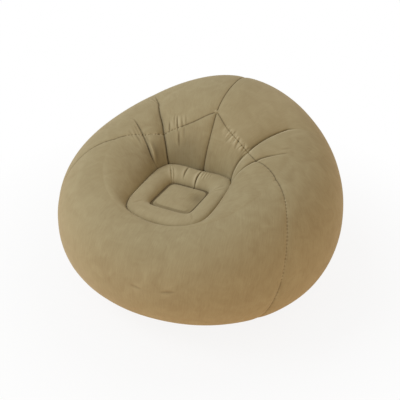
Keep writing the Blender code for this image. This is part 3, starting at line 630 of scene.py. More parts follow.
def front_patch():
    """The front and the arms between the side seams, as stations [column, row, (angle, climb)]."""
    inner, outer = wall_rows(), outer_rows(False)
    climbs = np.concatenate((inner, 1 + 2 * outer[1:]))
    middle = np.stack((np.zeros_like(climbs), climbs), -1)
    seat = np.array((BEND_SEAT_ANGLE, 0.0))
    rise = seat + (side_seam(SEAM_BEND) - seat) * inner[:, None]
    far = np.concatenate((rise, side_seam(SEAM_BEND * (1 - outer[1:]))))
    right = middle + (far - middle) * graded(FRONT_LENGTH, FRONT_STEP, False)[:, None, None]
    left = right[:0:-1] * (-1, 1)
    return np.concatenate((left, right))


def rear_stops(side):
    """Seat angle and seam share at the bend, at both folds and at the middle of the back."""
    folds = [(fold["line"][0], fold_crossing(fold)) for fold in FOLDS[side]]
    return np.array([(BEND_SEAT_ANGLE, SEAM_BEND), *folds, (180, 1)])


def rear_places(stops):
    """Where each column lies among the rear stops, counted in stops."""
    seams = [smooth_skin(*side_seam(share)) for share in stops[:, 1]]
    places = []
    for number, (start, end) in enumerate(zip(seams, seams[1:])):
        length = ARC_PER_CHORD * float(np.linalg.norm(end - start))
        places.append(number + graded(length, BACK_STEP)[:-1])
    return np.concatenate(places + [[len(stops) - 1]])


def at_stops(values, places):
    """Values given at the stops, read in between."""
    values = np.asarray(values, float)
    index = np.clip(places.astype(int), 0, len(values) - 2)
    local = (places - index).reshape((-1,) + (1,) * (values.ndim - 1))
    return values[index] + (values[index + 1] - values[index]) * local


def wall_patch(side):
    """The inner wall behind the bend, from the seat to the side seam, in columns along the folds."""
    rows = wall_rows()
    stops = rear_stops(side)
    places = rear_places(stops)
    foot = np.array((BEND_SEAT_ANGLE, 0))
    guides = [foot + (side_seam(SEAM_BEND) - foot) * rows[:, None]]
    for fold, (_, share) in zip(FOLDS[side], stops[1:]):
        climb = side_seam(share)[1] * rows
        guides.append(np.stack((fold_line(fold, climb), climb), -1))
    middle = through(WELL_SEAM, rows)
    guides.append(middle if side > 0 else (360, 0) + middle * (-1, 1))
    patch = at_stops(guides, places)
    slip = side_seam(at_stops(stops[:, 1], places)) - patch[:, -1]
    return (patch + slip[:, None] * rows[None, :, None]) * (side, 1)


def base_angle(seam_share):
    corner = SIDE_SEAM[0][0]
    return corner + (180 - corner) * (seam_share - SEAM_BEND) / (1 - SEAM_BEND)


def back_patch(side):
    """The back, from the side seam over the crest to the base, in columns along the folds."""
    rows = outer_rows(True)
    stops = rear_stops(side)
    places = rear_places(stops)
    guides = [side_seam(SEAM_BEND * (1 - rows))]
    for fold, (_, share) in zip(FOLDS[side], stops[1:]):
        top = side_seam(share)
        climb = top[1] + (3 - top[1]) * rows
        straight = top[0] + (base_angle(share) - top[0]) * rows
        leave = smoothstep(climb, fold["end"], FOLD_LEFT)
        angles = (1 - leave) * fold_line(fold, climb) + leave * straight
        guides.append(np.stack((angles, climb), -1))
    star = side_seam(1)
    guides.append(star + (np.array((180, 3)) - star) * rows[:, None])
    patch = at_stops(guides, places)
    slip = side_seam(at_stops(stops[:, 1], places)) - patch[:, 0]
    return (patch + slip[:, None] * (1 - rows)[None, :, None]) * (side, 1)


class Seam:
    """A weld or a pinched fold as a dense line on the smooth skin.

    The grip is how hard a weld presses the flock and, on a fold, how hard it pinches the film and
    how dark the painted shade along its line is, as (climbs, shares).
    The ticks are the stretch, as shares of the length, where the welding bar left flock standing.
    """

    def __init__(self, stations, grip=((0, 3), (1, 1)), ticks=(0, 0)):
        line = smooth_skin(stations[:, 0], stations[:, 1])
        run = np.linalg.norm(np.diff(line, axis=0), axis=1).cumsum()
        run = np.concatenate(([0], run))
        self.length = run[-1]
        along = np.linspace(0, self.length, int(self.length / LINE_STEP))
        places = [np.interp(along, run, stations[:, column]) for column in (0, 1)]
        self.line, self.out = smooth_skin(*places), outward(*places)
        self.grip = np.interp(places[1], *grip)
        ticked = (along > ticks[0] * self.length) & (along < ticks[1] * self.length)
        self.grip[ticked & (along / TICK_PITCH % 1 < TICK_SHARE)] = TICK_GRIP

    def nearest(self, points, limit=WELD_LIMIT):
        """The distance of each point from the line, up to a limit, and the grip there."""
        distance, grip = np.full(len(points), limit), np.zeros(len(points))
        close = np.zeros(len(points), bool)
        for place in self.line[::LINE_STRIDE]:
            close |= ((points - place) ** 2).sum(1) < (limit + LINE_STRIDE * LINE_STEP) ** 2
        index = np.flatnonzero(close)
        for chunk in np.array_split(index, max(len(index) // SEARCH_CHUNK, 1)):
            gap = ((points[chunk, None] - self.line[None]) ** 2).sum(-1)
            closest = gap.argmin(1)
            distance[chunk] = np.minimum(np.sqrt(gap.min(1)), limit)
            grip[chunk] = self.grip[closest]
        return distance, grip


def all_seams():
    share = np.linspace(0, 1, LINE_STATIONS)
    side, star = side_seam(share), side_seam(1)
    down = star + (np.array((180, 3)) - star) * share[:, None]
    well = through(WELL_SEAM, share)
    round_base = np.stack((360 * share, np.full_like(share, 3)), -1)
    return {
        "right": Seam(side, RIGHT_GRIP, RIGHT_TICKS),
        "left": Seam(side * (-1, 1), ticks=LEFT_TICKS),
        "back": Seam(down),
        "well": Seam(well),
        "base": Seam(round_base),
    }


def all_folds():
    """Each fold's side, its description and the line that it pinches."""
    made = []
    for side, folds in FOLDS.items():
        for fold in folds:
            climb = np.linspace(0, fold["pinch"][0][-1], LINE_STATIONS)
            stations = np.stack((fold_line(fold, climb), climb), -1)
            made.append((side, fold, Seam(stations * (side, 1), fold["pinch"])))
    return made


class Crease:
    """A sharp crease with raised lips along a short line on the film."""

    def __init__(self, origin, direction, normal, behind, ahead, depth, width, bow):
        self.origin, self.normal = origin, normal
        direction = direction - normal * (direction @ normal)
        self.direction = direction / np.linalg.norm(direction)
        self.across = np.cross(normal, self.direction)
        self.behind, self.ahead = behind, ahead
        self.depth, self.width, self.bow = depth, width, bow

    def dent_and_paint_shade(self, points, inward, pressed):
        """Adds this crease to each point's inward move, with painted shade in its valley and a painted
        highlight on its lips.
        """
        gap = points - self.origin
        reach = max(self.behind, self.ahead) + CREASE_WIDTHS * self.width
        near = np.flatnonzero((gap**2).sum(1) < reach**2)
        gap = gap[near]
        along = gap @ self.direction
        taper = np.clip(1 - np.abs(along) / np.where(along > 0, self.ahead, self.behind), 0, 1)
        taper = taper * (2 - taper)
        off = np.abs(gap @ self.across - self.bow * along**2)
        off = off / (self.width * (CREASE_TIP + (1 - CREASE_TIP) * taper))
        level = np.clip(1.5 - np.abs(gap @ self.normal) / CREASE_HEIGHT, 0, 1)
        relief = self.depth * taper * level * np.exp(-off) * (1 - off)
        inward[near] += relief
        # The valley gets painted shade, the lips a painted highlight.
        pressed[near] += relief / CREASE_SHADE_DEPTH * np.where(relief * self.depth < 0, LIP_HIGHLIGHT_SHARE, 1)


def puckers(seam, start, end, pitch, depth, width, before, after, seed, lean):
    """Short creases across a stretch of a weld, which is given as shares of its length."""
    pick = random.Random(seed)
    made = []
    place = start * seam.length
    while place < end * seam.length:
        share = (place / seam.length - start) / (end - start)
        inside = min(max(share, PUCKER_END), 1 - PUCKER_END)
        swell = math.sin(math.pi * inside) ** PUCKER_SWELL
        index = min(int(place / seam.length * (len(seam.line) - 1)), len(seam.line) - 2)
        tangent = unit(seam.line[index + 1] - seam.line[index])
        across = np.cross(seam.out[index], tangent)
        skew = lean + pick.uniform(-PUCKER_SKEW, PUCKER_SKEW)
        made.append(Crease(
            seam.line[index], across + tangent * skew, seam.out[index],
            before * pick.uniform(*PUCKER_REACH), after * pick.uniform(*PUCKER_REACH),
            depth * swell * pick.uniform(*PUCKER_DEPTH), width * pick.uniform(*PUCKER_BREADTH),
            pick.uniform(-PUCKER_BOW, PUCKER_BOW),
        ))
        place += pitch * pick.uniform(*PUCKER_SPACING)
    return made


def crease_on_skin(start, end, depth, width, bow):
    """A crease between two (angle, climb) places."""
    start, end = np.array(start, float), np.array(end, float)
    ends = smooth_skin(*np.stack((start, end), -1))
    middle = (start + end) / 2
    half = float(np.linalg.norm(ends[1] - ends[0])) / 2
    origin, normal = smooth_skin(*middle), outward(*middle)
    return Crease(origin, ends[1] - ends[0], normal, half, half, depth, width, bow)


def unevenness(points, seed, waves=9, shortest=0.09, longest=0.30):
    """A slow wave over the film, from -1 to 1."""
    pick = random.Random(seed)
    total = np.zeros(len(points))
    for _ in range(waves):
        direction = unit(np.array([pick.gauss(0, 1) for _ in range(3)]))
        turns = points @ direction / pick.uniform(shortest, longest) + pick.random()
        total += np.sin(2 * math.pi * turns)
    return total / waves


def weld_profile(distance, sizes):
    """How far in the film lies beside a weld: a rounded edge in a wider dip."""
    edge = np.clip(1 - distance / sizes.weld_edge, 0, 1)
    dip = sizes.weld_dip * np.exp(-distance / sizes.weld_reach)
    return sizes.weld_edge * (1 - np.sqrt(1 - edge**2)) + dip


class Dressing:
    """The welds and wrinkles that shape the film, made once for every panel."""

    def __init__(self, sizes):
        self.sizes = sizes
        self.seams, self.folds = all_seams(), all_folds()
        self.star = smooth_skin(*side_seam(1))
        self.creases = [crease_on_skin(*crease) for crease in SKIN_CREASES]
        for seed, (name, start, end, pitch, depth, before, after, lean) in enumerate(PUCKERS):
            self.creases += puckers(
                self.seams[name], start, end, pitch, depth * sizes.pucker_depth, PUCKER_WIDTH,
                before, after, seed, lean,
            )

    def film(self, stations):
        """Points of the finished film, with the way out and a tone at each.

        The tone runs from -1, lightest, to 1, the dark of a weld. Besides the welds and the flock
        standing in their ticks, it holds painted shade in creases, folds and low in the left of the
        well, painted highlights on the lips of creases and folds and round the seat's edge, painted
        light on the back and the left front, and a lighter nib where the welds meet.
        """
        angle, climb = stations[..., 0].ravel(), stations[..., 1].ravel()
        points, out = smooth_skin(angle, climb), outward(angle, climb)
        welds = [seam.nearest(points) for seam in self.seams.values()]
        distance = np.minimum.reduce([gap for gap, _ in welds])
        inward = fold_depth(angle, climb) + weld_profile(distance, self.sizes)
        loose = 1 - np.exp(-distance / SLACK_START)
        inward += self.sizes.slack * unevenness(points, 5) * loose
        pressed = sum(grip * np.exp(-gap / LINE_MARK_WIDTH) for gap, grip in welds)
        # Painted shade low in the left of the well, painted light on the right of the back and the left
        # front.
        for place, reach, share in SHADED_AND_LIT_PATCHES:
            off = np.linalg.norm(points - smooth_skin(*place), axis=1) / reach
            pressed += share * np.exp(-off**2)
        well_gap, _ = self.seams["well"].nearest(points, WELL_LIMIT)
        inward += WELL_VALLEY * np.exp(-well_gap / WELL_VALLEY_REACH)
        # The nib where the welds meet stands up and is drawn lighter.
        nib = np.exp(-((points - self.star) ** 2).sum(1) / NIB_RADIUS**2)
        inward -= (NIB_HEIGHT + self.sizes.weld_edge) * nib
        pressed = pressed * (1 - nib) - nib
        # Each fold pinches the film; its line gets painted shade and the lip ahead of it a painted
        # highlight.
        for side, fold, line in self.folds:
            gap, grip = line.nearest(points, FOLD_LIMIT)
            inward += PINCH_DEPTH * grip * np.exp(-gap / PINCH_WIDTH)
            climbs, places, share = fold["lip"]
            ahead = side * angle < fold_line(fold, climb)
            lip = np.exp(-(((gap - np.interp(climb, climbs, places)) / HIGHLIGHT_WIDTH) ** 2))
            pressed += grip * (np.exp(-gap / LINE_MARK_WIDTH) - share * lip * ahead)
        # A painted highlight on the wall round the front and right of the seat's edge.
        gap = np.linalg.norm(points - groove_ring(angle), axis=1)
        lip = np.exp(-(((gap - SEAT_HIGHLIGHT_GAP) / HIGHLIGHT_WIDTH) ** 2))
        lip *= 1 - smoothstep(np.abs(angle - SEAT_HIGHLIGHT_MIDDLE), *SEAT_HIGHLIGHT_FADE)
        pressed -= SEAT_HIGHLIGHT_SHARE * lip
        # Creases and puckers dent the film, with painted shade in their valleys and highlights on their
        # lips.
        for crease in self.creases:
            crease.dent_and_paint_shade(points, inward, pressed)
        return points - out * inward[:, None], out, np.clip(pressed, -1, 1)


class Film:
    """A panel's points, texture places and quads, gathered patch by patch."""

    def __init__(self):
        self.points, self.uvs, self.welds, self.faces = [], [], [], []
        self.count = 0

    def add_points(self, points, uvs, welds):
        self.points.append(points)
        self.uvs.append(uvs)
        self.welds.append(welds)
        self.count += len(points)
        return np.arange(self.count - len(points), self.count)

    def add_grid(self, index, flip=False):
        """Adds the quads between the columns of an index grid."""
        low, high = index[:-1, :-1], index[:-1, 1:]
        onward_low, onward_high = index[1:, :-1], index[1:, 1:]
        corners = (low, high, onward_high, onward_low)
        self.faces.append(np.stack(corners[::-1] if flip else corners, -1).reshape(-1, 4))

    def add_fin(self, line, inward):
        """Adds the strip welded inside along a line of points."""
        points, uvs, welds = (
            np.concatenate(parts)[line] for parts in (self.points, self.uvs, self.welds)
        )
        fin = self.add_points(points + inward * FIN, uvs, welds)
        self.add_grid(np.stack((line, fin), -1))

    def make(self, name, material):
        points, uvs, welds = (
            np.concatenate(parts) for parts in (self.points, self.uvs, self.welds)
        )
        faces = np.concatenate(self.faces)
        used = np.unique(faces)
        renumber = np.zeros(len(points), int)
        renumber[used] = np.arange(len(used))
        mesh = bpy.data.meshes.new(name)
        mesh.from_pydata(points[used].tolist(), [], renumber[faces].tolist())
        layer = mesh.uv_layers.new(name="film_lay")
        layer.data.foreach_set("uv", uvs[faces.ravel()].astype(np.float32).ravel())
        weld = mesh.attributes.new("weld", "FLOAT", "POINT")
        weld.data.foreach_set("value", welds[used].astype(np.float32))
        mesh.shade_smooth()
        mesh.materials.append(material)
        made = bpy.data.objects.new(name, mesh)
        bpy.context.scene.collection.objects.link(made)
        return made


def film_lay(points, width, height):
    """Texture places of a grid in metres: along the middle row, and down each column."""
    grid = points.reshape(width, height, 3)
    across = np.linalg.norm(np.diff(grid[:, height // 2], axis=0), axis=-1)
    place = np.zeros((width, height, 2))
    place[1:, :, 0] = across.cumsum()[:, None]
    place[:, 1:, 1] = np.linalg.norm(np.diff(grid, axis=1), axis=-1).cumsum(1)
    return place.reshape(-1, 2)


def add_patch(film, dressing, stations, shared=None, flip=False, reshape=None):
    """Adds a patch of skin, and gives its index grid and the way in at each point.

    Shared is the patch's first column, where another patch has made it.
    """
    width, height = stations.shape[:2]
    points, out, welds = dressing.film(stations)
    if reshape:
        points = reshape(points)
    uvs = film_lay(points, width, height)
    if shared is None:
        index = film.add_points(points, uvs, welds).reshape(width, height)
    else:
        fresh = film.add_points(points[height:], uvs[height:], welds[height:])
        index = np.concatenate((shared[None], fresh.reshape(width - 1, height)))
    film.add_grid(index, flip)
    return index, -out.reshape(width, height, 3)


def front_film(dressing, material):
    film = Film()
    front, inward = add_patch(film, dressing, front_patch())
    rows = len(wall_rows())
    down = np.array((0, 0, -1.0))
    right, right_in = add_patch(film, dressing, wall_patch(1), front[-1, :rows])
    left, left_in = add_patch(film, dressing, wall_patch(-1), front[0, :rows], flip=True)
    for side, side_in in ((right, right_in), (left, left_in)):
        film.add_fin(side[:, -1], side_in[:, -1])
        film.add_fin(side[-1], side_in[-1])
        film.add_fin(side[:, 0], down)
    film.add_fin(front[:, 0], down)
    film.add_fin(front[:, -1], inward[:, -1])
    film.add_fin(front[0, rows - 1:], inward[0, rows - 1:])
    film.add_fin(front[-1, rows - 1:], inward[-1, rows - 1:])
    return film.make("front_film", material)


def flat_at_valve(points):
    """Presses the film flat where the valve's flange is welded behind it."""
    middle, out = np.array(VALVE_MIDDLE), unit(np.array(VALVE_OUT))
    gap = points - middle
    height = gap @ out
    radius = np.linalg.norm(gap - height[:, None] * out, axis=1)
    flat = 1 - smoothstep(radius, FLANGE_EDGE + FLAT_MARGIN, FLANGE_EDGE * 2)
    flat *= np.abs(height) < FLAT_HEIGHT
    edge = smoothstep(radius, FLANGE_EDGE - FLANGE_STEP_WIDTH, FLANGE_EDGE + FLANGE_STEP_WIDTH)
    return points - out * (flat * (height - FLANGE_STEP * edge))[:, None]


def open_valve_hole(film):
    """Cuts the hole for the valve's neck and draws its edge on to a circle."""
    points, faces = np.concatenate(film.points), np.concatenate(film.faces)
    middle, out = np.array(VALVE_MIDDLE), unit(np.array(VALVE_OUT))
    gap = points - middle
    height = gap @ out
    spoke = gap - height[:, None] * out
    radius = np.linalg.norm(spoke, axis=1)
    radius[np.abs(height) > HOLE_HEIGHT] = 1
    kept = faces[radius[faces].max(1) > VALVE_HOLE]
    near = np.unique(kept[radius[kept].min(1) < VALVE_HOLE])
    inside = near[radius[near] < VALVE_HOLE]
    points[inside] = middle + spoke[inside] / radius[inside, None] * VALVE_HOLE
    film.points, film.faces = [points], [kept]


def back_film(name, side, dressing, material):
    film = Film()
    reshape = flat_at_valve if side > 0 else None
    index, inward = add_patch(film, dressing, back_patch(side), flip=side < 0, reshape=reshape)
    film.add_fin(index[:, 0], inward[:, 0])
    film.add_fin(index[:, -1], inward[:, -1])
    film.add_fin(index[0], inward[0])
    film.add_fin(index[-1], inward[-1])
    if side > 0:
        open_valve_hole(film)
    return film.make(name, material)


def settled(points, faces, held):
    """Where the film comes to rest over the air under it, with some of its points held."""
    scene = bpy.context.scene
    mesh = bpy.data.meshes.new("slack_film")
    mesh.from_pydata(points.tolist(), [], faces.tolist())
    sheet = bpy.data.objects.new("slack_film", mesh)
    scene.collection.objects.link(sheet)
    sheet.vertex_groups.new(name="held").add(np.flatnonzero(held).tolist(), 1, "REPLACE")
    cloth = sheet.modifiers.new("air", "CLOTH")
    cloth.point_cache.frame_end = CLOTH_FRAMES
    cloth.settings.vertex_group_mass = "held"
    cloth.settings.use_pressure = True
    cloth.settings.uniform_pressure_force = CLOTH_PRESSURE
    cloth.settings.shrink_min = -CLOTH_GROWTH
    cloth.settings.effector_weights.gravity = 0
    for number in range(1, CLOTH_FRAMES + 1):
        scene.frame_set(number)
    rest = np.empty(3 * len(points), np.float32)
    view = bpy.context.evaluated_depsgraph_get()
    sheet.evaluated_get(view).data.vertices.foreach_get("co", rest)
    scene.frame_set(1)
    bpy.data.objects.remove(sheet)
    bpy.data.meshes.remove(mesh)
    move = rest.reshape(-1, 3) - points
    length = np.linalg.norm(move, axis=1, keepdims=True)
    return points + move * np.minimum(1, CLOTH_CAP / np.maximum(length, 1e-9))


def seat_pad(material):
    """The seat: a padded ring round a flat weld band and the low puff of the quilt."""
    angle = np.linspace(-180, 180, PAD_TURNS + 1)[:-1]
    middle = np.array((0, -QUILT_FORWARD, QUILT_HEIGHT))
    foot = np.zeros_like(angle)
    start = groove_ring(angle) - outward(angle, foot) * fold_depth(angle, foot)[:, None]
    end = quilt_ring(angle, 0)
    rows = []
    for share in graded(PAD_LENGTH, PAD_STEP):
        turn = math.pi * share
        lean = math.cos(turn)
        across = (1 - lean**PAD_SHOULDER) / 2 if lean > 0 else (1 - lean) / 2
        row = between(start, end, np.full(len(angle), across), np.full(len(angle), share))
        row[:, 2] += PAD_CROWN * math.sin(turn)
        rows.append(row)
    padded = len(rows)
    for inset in np.linspace(0, QUILT_WELD_BAND, WELD_BAND_ROWS + 1)[1:]:
        rows.append(quilt_ring(angle, inset))
    inner = rows[-1]
    for share in 1 - graded(QUILT_LENGTH, PAD_STEP, True, False)[1:]:
        row = middle + (inner - middle) * share
        row[:, 2] += QUILT_PUFF * (1 - share**3)
        off = np.linalg.norm(row[:, :2] - QUILT_DENT_PLACE, axis=1) / QUILT_DENT_REACH
        row[:, 2] -= QUILT_DENT * np.exp(-off**2) * (1 - share**6)
        rows.append(row)
    points = np.stack(rows, 1)
    width, height = points.shape[:2]
    # The whole seat is drawn lighter, and the weld band darkened as a weld.
    pressed = np.full((width, height), SEAT_LIGHTER)
    quilt = padded + WELD_BAND_ROWS
    pressed[:, padded - 1:quilt] = WELD_BAND_PRESS
    # Painted shadow over the quilt's dent, and painted shade along its front rows.
    off = np.linalg.norm(points[:, quilt:, :2] - QUILT_DENT_PLACE, axis=2) / QUILT_DENT_REACH
    pressed[:, quilt:] += QUILT_SHADE * np.exp(-off**2)
    ahead = smoothstep(np.cos(np.radians(angle)), *QUILT_FRONT)[:, None]
    pressed[:, quilt:quilt + QUILT_FRONT_ROWS] += QUILT_SHADE * ahead
    pressed[:, 0] = 1
    film = Film()
    index = film.add_points(
        points.reshape(-1, 3), points[..., :2].reshape(-1, 2), pressed.ravel(),
    ).reshape(width, height)
    index = np.concatenate((index, index[:1]))
    film.add_grid(index, flip=True)
    slack = np.zeros((width, height), bool)
    slack[:, HELD_OUTER_ROWS:padded - HELD_INNER_ROWS] = True
    film.points = [settled(film.points[0], film.faces[0], ~slack.ravel())]
    tucked, inward = film.points[0], np.zeros(width * height)
    up = np.array((0, 0, 1.0))
    # Each tuck dents the pad, with painted shade in its valley and a painted highlight on its lips.
    for start, end, depth, breadth, bow in PAD_TUCKS:
        near_end, far_end = np.array((*start, PAD_TOP)), np.array((*end, PAD_TOP))
        half = float(np.linalg.norm(far_end - near_end)) / 2
        tuck = Crease(
            (near_end + far_end) / 2, far_end - near_end, up, half, half, depth, breadth, bow,
        )
        tuck.dent_and_paint_shade(tucked, inward, film.welds[0])
    film.points = [tucked - up * inward[:, None]]
    film.add_fin(index[:, 0], -up)
    return film.make("seat_pad", material)


def base_film(dressing, material):
    """The flat base, rolled up at its edge to meet the skin."""
    angle = np.linspace(-180, 180, BASE_COLUMNS + 1)[:-1]
    edge = dressing.film(np.stack((angle, np.full_like(angle, 3)), -1))[0]
    middle = np.array((0, BASE_SETBACK, 0))
    ring = base_ring(angle)
    flat = ring + unit(middle - ring) * BASE_ROLL
    rows = []
    for share in np.linspace(0, 1, BASE_ROLL_ROWS):
        row = edge + (flat - edge) * share
        row[:, 2] = edge[:, 2] * (1 - math.sin(math.pi / 2 * share))
        rows.append(row)
    inwards = np.linspace(0, 1, BASE_FLAT_ROWS)[1:]
    rows += [flat + (middle - flat) * share for share in inwards]
    points = np.stack(rows, 1)
    width, height = points.shape[:2]
    points = points.reshape(-1, 3)
    film = Film()
    index = film.add_points(points, points[:, :2], np.zeros(len(points))).reshape(width, height)
    film.add_grid(np.concatenate((index, index[:1])))
    return film.make("base_film", material)


def node(tree, kind, values=None, links=None, **settings):
    """Adds a shader node with its settings, its input values and the links into it."""
    made = tree.nodes.new(kind)
    for name, value in settings.items():
        setattr(made, name, value)
    for socket, value in (values or {}).items():
        made.inputs[socket].default_value = value
    for socket, source in (links or {}).items():
        tree.links.new(source, made.inputs[socket])
    return made


def start_material(name):
    material = bpy.data.materials.new(name)
    material.use_nodes = True
    material.node_tree.nodes.clear()
    return material, material.node_tree


def flocked_film(colours):
    """Flocked PVC: short nylon flock blown on to vinyl film.

    It is matt and soft, brightens towards a grazing angle and keeps the strokes of what brushed it.
    """
    material, tree = start_material("flocked_pvc")
    coordinates = node(tree, "ShaderNodeTexCoord").outputs
    # Strokes in the nap, 5 mm across and 40 mm down the fall of the film.
    stretched = node(
        tree, "ShaderNodeMapping", {"Scale": (1 / (5 * MM), 1 / (40 * MM), 1)},
        {"Vector": coordinates["UV"]},
    ).outputs[0]
    strokes = node(
        tree, "ShaderNodeTexNoise",
        {"Scale": 1, "Detail": 3, "Roughness": 0.6, "Distortion": 0.6}, {"Vector": stretched},
    ).outputs["Fac"]
    # Patches that a hand has brushed, about 70 mm across.
    patches = node(
        tree, "ShaderNodeTexNoise",
        {"Scale": 1 / (70 * MM), "Detail": 3, "Roughness": 0.55, "Distortion": 1.2},
        {"Vector": coordinates["Object"]},
    ).outputs["Fac"]
    # The flock is fibres of 0.1 mm; its clumps are drawn 1.6 mm across so that they show.
    clumps = node(
        tree, "ShaderNodeTexNoise", {"Scale": 1 / (1.6 * MM), "Detail": 2, "Roughness": 0.7},
        {"Vector": coordinates["Object"]},
    ).outputs["Fac"]
    nap = node(tree, "ShaderNodeMath", {1: 0.45}, {0: strokes}, operation="MULTIPLY").outputs[0]
    nap = node(
        tree, "ShaderNodeMath", {1: 0.55}, {0: patches, 2: nap}, operation="MULTIPLY_ADD",
    ).outputs[0]
    ramp = node(tree, "ShaderNodeValToRGB", None, {"Fac": nap})
    low, high = ramp.color_ramp.elements
    low.position, low.color = 0.30, srgb(colours.flock_dark)
    high.position, high.color = 0.70, srgb(colours.flock)
    # The weld attribute runs from -1, lightest, to 1, the dark of a weld. Above 0 it mixes in the weld
    # colour, for welds and for painted shade; below 0 the lifted colour, for flock standing in the
    # welds' ticks, for painted highlights and painted light, and for the lighter seat.
    weld = node(tree, "ShaderNodeAttribute", attribute_name="weld").outputs["Fac"]
    flat, lifted_and_highlight = (
        node(
            tree, "ShaderNodeMath", {1: share}, {0: weld}, operation="MULTIPLY", use_clamp=True,
        ).outputs[0]
        for share in (0.75, -0.8)
    )
    colour = ramp.outputs[0]
    for share, shade in ((lifted_and_highlight, colours.lifted_and_highlight), (flat, colours.weld)):
        colour = node(
            tree, "ShaderNodeMixRGB", {2: srgb(shade)}, {0: share, 1: colour},
        ).outputs[0]
    bump = node(
        tree, "ShaderNodeBump", {"Strength": 0.25, "Distance": 0.4 * MM}, {"Height": clumps},
    ).outputs[0]
    shader = node(
        tree, "ShaderNodeBsdfPrincipled",
        {
            "Roughness": 0.95, "Specular IOR Level": 0.15,
            "Sheen Weight": 0.30, "Sheen Roughness": 0.45, "Sheen Tint": srgb(colours.sheen),
        },
        {"Base Color": colour, "Normal": bump},
    )
    node(tree, "ShaderNodeOutputMaterial", None, {"Surface": shader.outputs[0]})
    return material


def plain_vinyl(name, colour, roughness, grain):
    """Plain PVC, calendered as film or moulded soft: a low even gloss over a fine grain."""
    material, tree = start_material(name)
    place = node(tree, "ShaderNodeTexCoord").outputs["Object"]
    emboss = node(
        tree, "ShaderNodeTexNoise", {"Scale": 1 / grain, "Detail": 2}, {"Vector": place},
    ).outputs["Fac"]
    clouds = node(
        tree, "ShaderNodeTexNoise", {"Scale": 1 / (45 * MM), "Detail": 2}, {"Vector": place},
    ).outputs["Fac"]
    ramp = node(tree, "ShaderNodeValToRGB", None, {"Fac": clouds})
    low, high = ramp.color_ramp.elements
    base = srgb(colour)[:3]
    low.color = (*(0.9 * channel for channel in base), 1)
    high.color = (*(min(1.08 * channel, 1) for channel in base), 1)
    bump = node(
        tree, "ShaderNodeBump", {"Strength": 0.2, "Distance": 0.2 * MM}, {"Height": emboss},
    ).outputs[0]
    shader = node(
        tree, "ShaderNodeBsdfPrincipled", {"Roughness": roughness, "IOR": 1.53},
        {"Base Color": ramp.outputs["Color"], "Normal": bump},
    )
    node(tree, "ShaderNodeOutputMaterial", None, {"Surface": shader.outputs[0]})
    return material


def clear_vinyl(colour):
    """Soft clear PVC: see-through, with a faint milky cast."""
    material, tree = start_material("clear_pvc")
    place = node(tree, "ShaderNodeTexCoord").outputs["Object"]
    ripple = node(
        tree, "ShaderNodeTexNoise", {"Scale": 1 / (3 * MM), "Detail": 1}, {"Vector": place},
    ).outputs["Fac"]
    bump = node(
        tree, "ShaderNodeBump", {"Strength": 0.1, "Distance": 0.2 * MM}, {"Height": ripple},
    ).outputs[0]
    shader = node(
        tree, "ShaderNodeBsdfPrincipled",
        {"Base Color": srgb(colour), "Roughness": 0.22, "IOR": 1.53, "Transmission Weight": 0.75},
        {"Normal": bump},
    )
    node(tree, "ShaderNodeOutputMaterial", None, {"Surface": shader.outputs[0]})
    return material


def stand_for(piece, solid):
    """Lets a piece stand for its solid, on the chair's body."""
    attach(piece, "chair")
    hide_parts(solid)


class AIRCHAIR_OT_skin(bpy.types.Operator):
    """Makes the flocked front and back panels and the plain base"""

    bl_idname = "air_chair.skin"
    bl_label = "Skin"

    def execute(self, context):
        dressing = Dressing(context.scene.air_chair_sizes)
        colours = context.scene.air_chair_colours
        flock = flocked_film(colours)
        stand_for(front_film(dressing, flock), "front_panel")
        for name, side in (("left", -1), ("right", 1)):
            piece = back_film(f"back_film_{name}", side, dressing, flock)
            stand_for(piece, f"back_panel_{name}")
        film = plain_vinyl("calendered_pvc", colours.film, roughness=0.5, grain=1.5 * MM)
        stand_for(base_film(dressing, film), "base_panel")
        return {"FINISHED"}


class AIRCHAIR_OT_seat(bpy.types.Operator):
    """Makes the padded seat with its welded quilt"""

    bl_idname = "air_chair.seat"
    bl_label = "Seat pad"

    def execute(self, context):
        pad = seat_pad(bpy.data.materials["flocked_pvc"])
        stand_for(pad, "seat_panel")
        return {"FINISHED"}


class AIRCHAIR_OT_valve(bpy.types.Operator):
    """Gives the valve, the inner ties and their doublers their materials"""

    bl_idname = "air_chair.valve"
    bl_label = "Valve and ties"

    def execute(self, context):
        colours = context.scene.air_chair_colours
        vinyl = plain_vinyl("moulded_pvc", colours.valve, roughness=0.27, grain=0.8 * MM)
        clear = clear_vinyl(colours.clear)
        film = bpy.data.materials["calendered_pvc"]
        for name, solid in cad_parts.items():
            if name.startswith("valve_"):
                material = clear if name == "valve_flap" else vinyl
            elif "doubler" in name or "tie" in name:
                material = film
            else:
                continue
            solid.data.materials.clear()
            solid.data.materials.append(material)
        return {"FINISHED"}


def lamp(name, place, target, colour, energy, size):
    light = bpy.data.lights.new(name, "AREA")
    light.color = srgb(colour)[:3]
    light.energy = energy
    light.shape = "DISK"
    light.size = size
    holder = bpy.data.objects.new(name, light)
    holder.location = place
    holder.rotation_euler = (Vector(target) - Vector(place)).to_track_quat("-Z", "Y").to_euler()
    bpy.context.scene.collection.objects.link(holder)


def white_to_camera(tree, surface, share=None):
    """Mixes pure white, or a share of it, into what camera, glossy and transmission rays see."""
    path = node(tree, "ShaderNodeLightPath").outputs
    seen = path["Is Camera Ray"]
    for ray in ("Is Glossy Ray", "Is Transmission Ray"):
        seen = node(
            tree, "ShaderNodeMath", None, {0: seen, 1: path[ray]}, operation="MAXIMUM",
        ).outputs[0]
    if share is not None:
        seen = node(
            tree, "ShaderNodeMath", None, {0: seen, 1: share}, operation="MULTIPLY",
        ).outputs[0]
    white = node(tree, "ShaderNodeEmission", {"Color": (1, 1, 1, 1), "Strength": 1}).outputs[0]
    return node(tree, "ShaderNodeMixShader", None, {0: seen, 1: surface, 2: white}).outputs[0]


